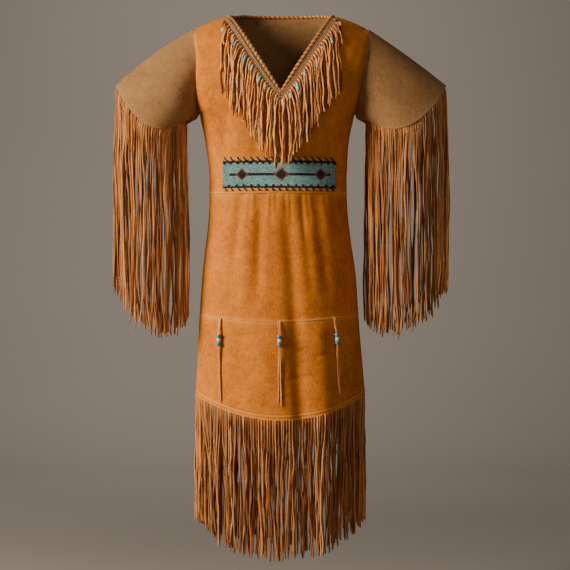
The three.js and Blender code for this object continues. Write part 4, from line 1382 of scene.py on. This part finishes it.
# pitch: how far apart the black teeth stand; start: moves them along; steps: how far from the edge
# each step of a tooth reaches, and half its width
TOP_TEETH = {"pitch": 14.7, "start": 3.0, "steps": [(6.0, 4.2), (8.0, 2.2)]}
FOOT_TEETH = {"pitch": 17.0, "start": 8.0, "steps": [(8.0, 3.4)]}


def bead_tones(x, rise):
    """The tone of each bead. rise: its level above the panel's middle."""
    rng = np.random.default_rng(7)
    tone = rng.choice(GROUND_MIX, x.shape).astype(object)
    from_edge = (BELT_TOP - BELT_FOOT) / 2 - np.abs(rise)
    tone[from_edge < BORDER] = "black"
    for teeth, here in ((TOP_TEETH, rise > 0), (FOOT_TEETH, rise <= 0)):
        from_tooth = np.abs((x + teeth["start"]) % teeth["pitch"] - teeth["pitch"] / 2)
        for depth, half in teeth["steps"]:
            tone[here & (from_edge < depth) & (from_tooth < half)] = "black"
    along_line = (x > CENTRE_LINE[0]) & (x < CENTRE_LINE[1])
    tone[along_line & (np.abs(rise) < CENTRE_LINE_HALF)] = "black"
    for diamond in DIAMONDS:
        across = np.abs(x - diamond["x"]) / diamond["half_width"]
        reach = across + np.abs(rise) / diamond["half_height"]
        tone[reach < 1.0] = "red"
        tone[reach < DIAMOND_CORE] = "brown"
    at_end = (x - BELT_START < 1.5 * BEAD_PITCH) | (BELT_END - x < 1.5 * BEAD_PITCH)
    tone[at_end & (np.round(rise / BEAD_PITCH) % 4 == 0)] = "black"
    return tone


def bead_model():
    deselect()
    bpy.ops.mesh.primitive_uv_sphere_add(segments=6, ring_count=4, radius=0.5)
    return model_of(bpy.context.object)


def bead_panel():
    across = np.arange(BELT_START + BEAD_PITCH / 2, BELT_END, BEAD_PITCH)
    up = np.arange(BELT_FOOT + BEAD_PITCH / 2, BELT_TOP, BEAD_PITCH)
    x, level = (values.ravel() for values in np.meshgrid(across, up))
    rng = np.random.default_rng(8)
    tone = bead_tones(x, level - (BELT_TOP + BELT_FOOT) / 2)
    x_laid = x + rng.uniform(-0.12, 0.12, x.shape)
    level_laid = level + rng.uniform(-0.12, 0.12, x.shape)
    places, normals = on_front(x_laid, level_laid, BEAD_LIFT)
    right = unit(np.cross(np.broadcast_to([0, 0, 1.0], normals.shape), -normals))
    upwards = np.cross(normals, right)
    piece = copies_of("beads_belt", bead_model(), SEED_BEADS, places, right, upwards, BEAD_SIZE)
    colours = {name: linear(value) for name, value in BEAD_TONES.items()}
    shades = np.array([colours[name] for name in tone])
    shades[:, :3] *= rng.uniform(0.86, 1.12, (len(shades), 1))
    bead_colours(piece, shades)
    finish_piece(piece, ["bead_panel"])
    x_grid = np.linspace(BELT_START, BELT_END, 100)[None, :]
    level_grid = np.linspace(BELT_FOOT, BELT_TOP, 24)[:, None]
    backing_points = on_front(x_grid, level_grid, BACKING_LIFT)[0]
    backing = sheet_mesh("backing_belt", backing_points, (DARK_LACE,) * 3)
    finish_piece(backing)


bead_panel()


# ---------- laced edges of the belt panel ----------
LACE_HEIGHT = 7
LACE_STITCHES = 17
LACE_WIDTH, LACE_THICKNESS = 3.4, 1.3
TOP_TURN, FOOT_TURN = 9.5, 6.0  # how high each turn of lace reaches, above and below the panel
SEAM_GAP = 0.3


def lacing(place, foot, height):
    """A tan edge strip, whipped down with dark lace at each stitch. height: of a turn of lace."""
    columns = 12 * LACE_STITCHES
    x = np.linspace(BELT_START, BELT_END, columns + 1)
    rise = np.linspace(0, 1, 9)[:, None]
    share = (x[None, :] - BELT_START) / (BELT_END - BELT_START)
    pull = np.cos(2 * math.pi * LACE_STITCHES * share)
    lift = 1.4 + (1.3 - 0.5 * pull) * np.sqrt(np.clip(1 - (2 * rise - 1) ** 2, 0, 1))
    points = on_front(x[None, :], foot + LACE_HEIGHT * rise, lift)[0]
    edge = sheet_mesh(f"edge_belt_{place}", points, (LACE,) * 3, thickness=1.3)
    finish_piece(edge, [f"belt_lacing_{place}"])
    rings = 8
    middle = lerp(BELT_START, BELT_END, (np.arange(LACE_STITCHES) + 0.5) / LACE_STITCHES)
    middle = middle + np.random.default_rng(10).uniform(-1.2, 1.2, LACE_STITCHES)
    run = np.linspace(-0.5, 0.5, rings + 1)
    line_x = middle[:, None] + 1.15 * height * run
    line_level = foot + LACE_HEIGHT / 2 - height * run
    over = 1.0 + 3.0 * np.sqrt(np.clip(1 - (2 * run) ** 2, 0, 1))
    points, normals = on_front(line_x, line_level, over)
    wraps = hang_thongs(
        f"lace_belt_{place}",
        DARK_LACE,
        points,
        np.cross(normals, along_of(points)),
        LACE_WIDTH,
        LACE_THICKNESS,
        np.zeros((LACE_STITCHES, rings + 1)),
        np.random.default_rng(9).uniform(0, 1, LACE_STITCHES),
    )
    finish_piece(wraps)


lacing("top", BELT_TOP + SEAM_GAP, TOP_TURN)
lacing("bottom", BELT_FOOT - LACE_HEIGHT - SEAM_GAP, FOOT_TURN)


# ---------- hip welt ----------
WELT_START, WELT_END, WELT_FADE = -146, 132, 12
WELT_HEIGHT, WELT_THICKNESS = 3.6, 0.9


def hip_welt():
    """A narrow strip turned over the hip seam, rolled between the outer ties and flat beyond."""
    turns = np.radians(np.linspace(-85, 85, 200))
    rise = np.linspace(0, 1, 7)[:, None]
    level = hip_at(turns)[None, :] + SEAM_GAP + WELT_HEIGHT * rise
    x = across_at(turns, level)
    rolled = smoothstep(x, WELT_START - WELT_FADE, WELT_START)
    rolled = rolled * (1 - smoothstep(x, WELT_END, WELT_END + WELT_FADE))
    lift = 0.5 + (0.35 + 0.95 * rolled) * np.sqrt(np.clip(1 - (2 * rise - 1) ** 2, 0, 1))
    points = on_front(x, level, lift)[0]
    piece = sheet_mesh("welt_hip", points, (COGNAC_SUEDE,) * 3, WELT_THICKNESS)
    finish_piece(piece, ["hip_welt"])


hip_welt()


# ---------- stitching ----------
STITCH_PITCH, STITCH_LENGTH, STITCH_HEIGHT = 4.6, 3.4, 0.8
STITCH_LIFT = 0.3
SEAM_END = 88.5  # the turn, in degrees, at which the seams' rows stop short of the side seams
WAIST_ROW, WAIST_ROW_LIFT = 0.2, 0.1
# height above the hip seam, and the first and last turn in degrees
HIP_ROWS = [(1.2, -50, 48), (4.6, -50, 48)]
HIP_ROW_LIFT = 1.5  # clear of the welt
HEM_ROWS = (6.5, 13.5)  # above the hem's cut edge
SLEEVE_ROWS = (0.045, 0.955)  # shares of the way from the armhole to the cuff
# how far inside the band's outer edge its pale rows run, and how far outside its start the dark one
BAND_ROWS, BAND_DARK_ROW, BAND_ROW_LIFT = (5.4, 1.2), 1.9, 3.0
# half the height of a seam's folded edge, its wall, and its middle's height above each seam
RIDGE_HALF, RIDGE_WALL = 2.4, 0.6
RIDGE_RISE = {"hem": sum(HEM_ROWS) / 2, "waist": 3.2}


def stitches(name, material, lines, thick=0.9):
    """Rows of running stitches. lines: pairs of points and ways out, in order along each row."""
    centres, ahead, out = [], [], []
    for points, normals in lines:
        run = np.concatenate([[0], np.cumsum(np.linalg.norm(np.diff(points, axis=0), axis=1))])
        stops = np.arange(STITCH_PITCH / 2, run[-1], STITCH_PITCH)
        before, at, after = (
            np.stack([np.interp(stops + shift, run, column) for column in points.T], 1)
            for shift in (-1, 0, 1)
        )
        centres.append(at)
        ahead.append(unit(after - before))
        out.append(unit(np.stack([np.interp(stops, run, column) for column in normals.T], 1)))
    centres, ahead, out = (np.concatenate(values) for values in (centres, ahead, out))
    side = unit(np.cross(out, ahead))
    size = (STITCH_LENGTH, thick, STITCH_HEIGHT)
    piece = copies_of(name, bead_model(), material, centres, ahead, side, size)
    finish_piece(piece)


def row_round(side, level_at, first=-SEAM_END, last=SEAM_END, lift=STITCH_LIFT):
    turns = np.radians(np.linspace(first, last, 260))
    level = level_at(turns)
    normal = body_normal(side, turns, level)
    return body_point(side, turns, level) + normal * lift, normal


def row_beside_v(hand, away):
    share = np.linspace(0.01, 1, 120)
    distance = away(NECK_REACH * share)
    x, level = beside_v(hand, lerp(V_CENTRE * distance, NECK_REACH, share), distance)
    return above_bodice(x, level, BAND_ROW_LIFT)


def row_round_sleeve(hand, share):
    turns = np.linspace(0, 2 * math.pi, 240)
    shares = np.full(turns.shape, share)
    points = sleeve_point(hand, turns, shares)
    around = sleeve_point(hand, turns + 0.01, shares) - sleeve_point(hand, turns - 0.01, shares)
    along = sleeve_point(hand, turns, shares + 0.01) - sleeve_point(hand, turns, shares - 0.01)
    normal = unit(np.cross(around, along) * -hand)
    return points + normal * STITCH_LIFT, normal


def seam_ridge(side, level_at, rise):
    """The folded edge that stands up along a seam, at a height above it."""
    turns = ordered(side, np.radians(np.linspace(-SEAM_END, SEAM_END, 220)))
    across = np.linspace(-1, 1, 7)[:, None]
    level = level_at(turns)[None, :] + rise + RIDGE_HALF * across
    normal = body_normal(side, turns[None, :], level)
    lift = 0.2 + 0.4 * np.sqrt(np.clip(1 - across**2, 0, 1))
    return body_point(side, turns[None, :], level) + normal * lift[..., None]


def seam_stitches():
    for place, side in SIDES:
        for seam, level_at in (("hem", hem_at), ("waist", waist_at)):
            name = f"ridge_{seam}_{place}"
            points = seam_ridge(side, level_at, RIDGE_RISE[seam])
            ridge = sheet_mesh(name, points, (COGNAC_SUEDE,) * 3, RIDGE_WALL)
            finish_piece(ridge)
        waist_row = row_round(side, lambda turn: waist_at(turn) + WAIST_ROW, lift=WAIST_ROW_LIFT)
        hem_rows = [
            row_round(side, lambda turn, rise=rise: hem_at(turn) + rise) for rise in HEM_ROWS
        ]
        stitches(f"thread_seams_{place}", DARK_THREAD, [waist_row, *hem_rows])
        hip_rows = [
            row_round(side, lambda turn, rise=rise: hip_at(turn) + rise, first, last, HIP_ROW_LIFT)
            for rise, first, last in HIP_ROWS
        ]
        stitches(f"thread_skirt_{place}", THREAD, hip_rows, thick=1.1)
    for place, hand in HANDS:
        sleeve_rows = [row_round_sleeve(hand, share) for share in SLEEVE_ROWS]
        stitches(f"thread_sleeve_{place}", DARK_THREAD, sleeve_rows)
        pale_rows = [
            row_beside_v(hand, lambda along, inside=inside: band_to(along) - inside)
            for inside in BAND_ROWS
        ]
        stitches(f"thread_neck_{place}", THREAD, pale_rows, thick=2.0)
        dark_row = row_beside_v(hand, lambda along: band_start(along) + BAND_DARK_ROW)
        stitches(f"thread_band_{place}", DARK_THREAD, [dark_row], thick=1.5)


seam_stitches()


# ---------- ties and beads ----------
# x: at the root; drift: how far the tip hangs to the wearer's left; tip: its level; beads: levels
# of the two blue beads
TIES = [
    {"name": "right", "x": -139, "drift": -1, "tip": -892, "beads": (-747, -765)},
    {"name": "middle", "x": -4, "drift": 2, "tip": -899, "beads": (-748, -766)},
    {"name": "left", "x": 122, "drift": 10, "tip": -874, "beads": (-745, -762)},
]
BEAD_RADIUS, BEAD_BORE, BEAD_HEIGHT = 6.1, 4.1, 7
PALE_RADIUS, PALE_HEIGHT = BEAD_RADIUS - 1.2, 8.0
BEAD_BLUE, BEAD_PALE = "#1f7f98", "#d8c6a2"
BEAD_EDGE = 1.3  # how far its edges are rounded
BEAD_STAND = BEAD_RADIUS + 0.7  # how far from the skirt each bead's bore stands
TIE_WIDTH, TIE_THICKNESS = 4.2, 2.3
TIE_STAND = 3.6  # how far the thongs stand from the skirt away from the beads
# how far apart a tie's two thongs are, how much more at their tips, and how far each strays there
TIE_APART, TIE_SPREAD, TIE_DRIFT = 3.0, 1.4, 1.8


def tie_root(tie):
    return float(hip_at(turn_at(tie["x"], HIP)))


def tie_point(tie, level, stand):
    """A place on a tie's middle line, stand off the skirt, and the level way out there."""
    root = tie_root(tie)
    x = tie["x"] + tie["drift"] * np.clip((root - level) / (root - tie["tip"]), 0, 1)
    points, normals = on_front(x, level, 0.0)
    out = unit(normals * np.array([1, 1, 0]))
    return points + out * np.asarray(stand)[..., None], out


def pony_bead(name, tie, level, tone, height, radius, replaced):
    """A bead turned on its bore: a ring of even wall, with its edges rounded."""
    centre, _ = tie_point(tie, float(level), BEAD_STAND)
    deselect()
    bpy.ops.mesh.primitive_cylinder_add(
        vertices=28,
        radius=radius * MM,
        depth=height * MM,
        end_fill_type="NGON",
        location=centre * MM,
    )
    piece = bpy.context.object
    piece.name = name
    bpy.ops.object.mode_set(mode="EDIT")
    bpy.ops.mesh.select_mode(type="FACE")
    bpy.ops.mesh.select_all(action="DESELECT")
    bpy.ops.object.mode_set(mode="OBJECT")
    for face in piece.data.polygons:
        face.select = abs(face.normal.z) > 0.9
    bpy.ops.object.mode_set(mode="EDIT")
    bpy.ops.mesh.inset(thickness=(radius - BEAD_BORE) * MM, use_individual=True)
    bpy.ops.mesh.bridge_edge_loops()
    bpy.ops.object.mode_set(mode="OBJECT")
    bpy.ops.object.transform_apply(location=True, rotation=False, scale=False)
    apply_modifier(
        piece,
        "BEVEL",
        width=BEAD_EDGE * MM,
        segments=3,
        limit_method="ANGLE",
        angle_limit=0.7,
    )
    bpy.ops.object.shade_smooth_by_angle(angle=math.radians(60))
    bead_colours(piece, np.array([linear(tone)]))
    piece.data.materials.append(PONY_BEADS)
    finish_piece(piece, replaced)


def tie_thongs(tie, rings=22):
    """The middle lines of a tie's two thongs, which pass over the seam and through the beads."""
    root = tie_root(tie)
    share = down_thong(rings)
    level = lerp(root + 5, tie["tip"], share)
    bead_top, bead_foot = tie["beads"][0] + BEAD_HEIGHT, tie["beads"][1] - BEAD_HEIGHT
    stand = np.interp(
        -level,
        [
            -(root + 5),
            -(root + 1),
            -(root - 10),
            -bead_top,
            -bead_foot,
            -(bead_foot - 38),
            -tie["tip"],
        ],
        [0.0, TIE_STAND, 4.0, BEAD_STAND, BEAD_STAND, TIE_STAND, 3.0],
    )
    below = smoothstep(-level, -bead_foot, -tie["tip"])
    drift = wander(2, rings, 160 + int(tie["x"]))
    lines = []
    for strand in (0, 1):
        middle, out = tie_point(tie, level - 6 * strand * (share == 1), stand)
        across = np.cross(out, [0, 0, 1.0])
        apart = (strand - 0.5) * (TIE_APART + TIE_SPREAD * below)
        apart = apart + TIE_DRIFT * below * drift[strand]
        lines.append(middle - across * apart[:, None])
    return np.stack(lines), across


def ties():
    for tie in TIES:
        name = tie["name"]
        lines, across = tie_thongs(tie)
        rings = lines.shape[1] - 1
        thongs = hang_thongs(
            f"thongs_tie_{name}",
            PALE_STRANDS,
            lines,
            np.stack([across, across]),
            TIE_WIDTH,
            TIE_THICKNESS,
            0.5 * twisting(2, rings, 170 + int(tie["x"]), 0.5),
            np.array([0.35, 0.6]),
        )
        finish_piece(thongs, [f"thong_{name}"])
        for n, level in enumerate(tie["beads"], 1):
            stands_for = [f"bead_{name}_{n}"]
            pony_bead(
                f"pony_{name}_{n}", tie, level, BEAD_BLUE, BEAD_HEIGHT, BEAD_RADIUS, stands_for
            )
        between = sum(tie["beads"]) / 2
        pony_bead(f"pony_{name}_pale", tie, between, BEAD_PALE, PALE_HEIGHT, PALE_RADIUS, [])


ties()


# Tube beads threaded on the neck's thongs. x, level: where each hangs
NECK_BEADS = [
    {"x": -139, "level": -39, "tone": "#b9b7ac", "length": 12},
    {"x": -104, "level": -77, "tone": "#3f9fb4", "length": 12},
    {"x": -85, "level": -111, "tone": "#3fa3b0", "length": 15},
    {"x": -65.5, "level": -130, "tone": "#8fb9b4", "length": 13},
    {"x": -46.6, "level": -161, "tone": "#3fb4c4", "length": 17},
    {"x": -29, "level": -177, "tone": "#8fc4c0", "length": 13},
    {"x": 0, "level": -211.5, "tone": "#3fafc8", "length": 19},
    {"x": 22, "level": -196.5, "tone": "#b4cdc8", "length": 11},
    {"x": 38, "level": -177, "tone": "#52c4cc", "length": 17},
    {"x": 56.4, "level": -152.5, "tone": "#4fc0cc", "length": 17},
    {"x": 79, "level": -121.6, "tone": "#57b6bf", "length": 14},
    {"x": 97.5, "level": -89, "tone": "#b3b0a4", "length": 12},
    {"x": 119.5, "level": -68, "tone": "#69bcc4", "length": 14},
    {"x": 130, "level": -41, "tone": "#7fc4c4", "length": 13},
    {"x": 155, "level": -20, "tone": "#bdbab0", "length": 11},
]
TUBE_RADIUS = 3.0
TUBE_SIDES = 14
KEPT_FROM_ROOT = 50  # added to the gap of a thong's first two rings, so that no bead sits there


def tube_model():
    deselect()
    bpy.ops.mesh.primitive_cylinder_add(vertices=TUBE_SIDES, radius=1.0, depth=1.0)
    piece = bpy.context.object
    apply_modifier(piece, "BEVEL", width=0.12, segments=2, limit_method="ANGLE", angle_limit=0.7)
    return model_of(piece)


def neck_beads():
    lines = np.concatenate([NECK_LINES["left"], NECK_LINES["right"]])
    centres, ways = [], []
    for bead in NECK_BEADS:
        gap = np.hypot(lines[..., 0] - bead["x"], lines[..., 2] - bead["level"])
        gap[:, :2] += KEPT_FROM_ROOT
        thong, ring = np.unravel_index(np.argmin(gap), gap.shape)
        ring = min(max(ring, 1), lines.shape[1] - 2)
        centres.append(lines[thong, ring])
        ways.append(lines[thong, ring + 1] - lines[thong, ring - 1])
    centres, down = np.array(centres), unit(np.array(ways))
    x_ways = unit(np.cross(down, [0, 1.0, 0]))
    y_ways = np.cross(down, x_ways)
    sizes = np.array([(TUBE_RADIUS, TUBE_RADIUS, bead["length"]) for bead in NECK_BEADS], float)
    piece = copies_of("beads_neck", tube_model(), PONY_BEADS, centres, x_ways, y_ways, sizes)
    bead_colours(piece, np.array([linear(bead["tone"]) for bead in NECK_BEADS]))
    finish_piece(piece)


neck_beads()


# ---------- studio ----------
# in metres
FLOOR_LEVEL = -1.42
FLOOR_HALF = 9.0
WALL_BEHIND, WALL_TOP, WALL_CURVE = 5.6, 7.0, 2.0
WORLD_STRENGTH = 0.06


def backdrop():
    """A pale floor that curves up into a plain wall."""
    deselect()
    bpy.ops.mesh.primitive_plane_add(size=1)
    piece = bpy.context.object
    piece.name = "studio_floor"
    arc = [
        (
            WALL_BEHIND - WALL_CURVE + WALL_CURVE * math.sin(turn),
            FLOOR_LEVEL + WALL_CURVE - WALL_CURVE * math.cos(turn),
        )
        for turn in np.linspace(0, math.pi / 2, 24)
    ]
    profile = [(-FLOOR_HALF, FLOOR_LEVEL), *arc, (WALL_BEHIND, WALL_TOP)]
    mesh = bpy.data.meshes.new("studio_floor")
    points = [(x, y, z) for x in (-FLOOR_HALF, FLOOR_HALF) for y, z in profile]
    count = len(profile)
    mesh.from_pydata(points, [], [(n, count + n, count + n + 1, n + 1) for n in range(count - 1)])
    mesh.shade_smooth()
    piece.data = mesh
    made, tree, shader = new_material("painted studio paper")
    place = add_node(tree, "ShaderNodeTexCoord").outputs["Object"]
    cloud = add_node(tree, "ShaderNodeTexNoise", {"Vector": place, "Scale": 0.8, "Detail": 2.0})
    tone = add_node(
        tree,
        "ShaderNodeMix",
        {MIX_SHARE: cloud.outputs["Fac"], MIX_A: linear("#86827d"), MIX_B: linear("#8d8984")},
        data_type="RGBA",
    )
    tree.links.new(tone.outputs[MIX_RESULT], shader.inputs["Base Color"])
    shader.inputs["Roughness"].default_value = 0.9
    piece.data.materials.append(made)


# place and target in metres, power in watts
LIGHTS = [
    {
        "name": "key_softbox",
        "place": (-3.3, -1.6, 0.6),
        "target": (0, 0, -0.55),
        "size": (1.4, 1.9),
        "power": 335,
        "colour": "#fff0de",
    },
    {
        "name": "front_fill",
        "place": (1.7, -3.0, 1.5),
        "target": (0, 0, -0.5),
        "size": (2.0, 1.6),
        "power": 26,
        "colour": "#fff4ea",
    },
    {
        "name": "backdrop_light",
        "place": (-0.2, 3.0, 1.2),
        "target": (-0.2, WALL_BEHIND, -0.6),
        "size": (1.4, 0.8),
        "power": 40,
        "colour": "#fff4ea",
    },
]


def area_light(name, place, target, size, power, colour):
    bpy.ops.object.light_add(type="AREA", location=place)
    made = bpy.context.object
    made.name = name
    made.data.shape = "RECTANGLE"
    made.data.size, made.data.size_y = size
    made.data.energy = power
    made.data.color = linear(colour)[:3]
    made.rotation_euler = (Vector(target) - Vector(place)).to_track_quat("-Z", "Y").to_euler()


def studio():
    backdrop()
    for light in LIGHTS:
        area_light(**light)
    world = bpy.data.worlds.new("studio")
    bpy.context.scene.world = world
    world.use_nodes = True
    glow = world.node_tree.nodes["Background"]
    glow.inputs["Color"].default_value = linear("#fff4e8")
    glow.inputs["Strength"].default_value = WORLD_STRENGTH


studio()
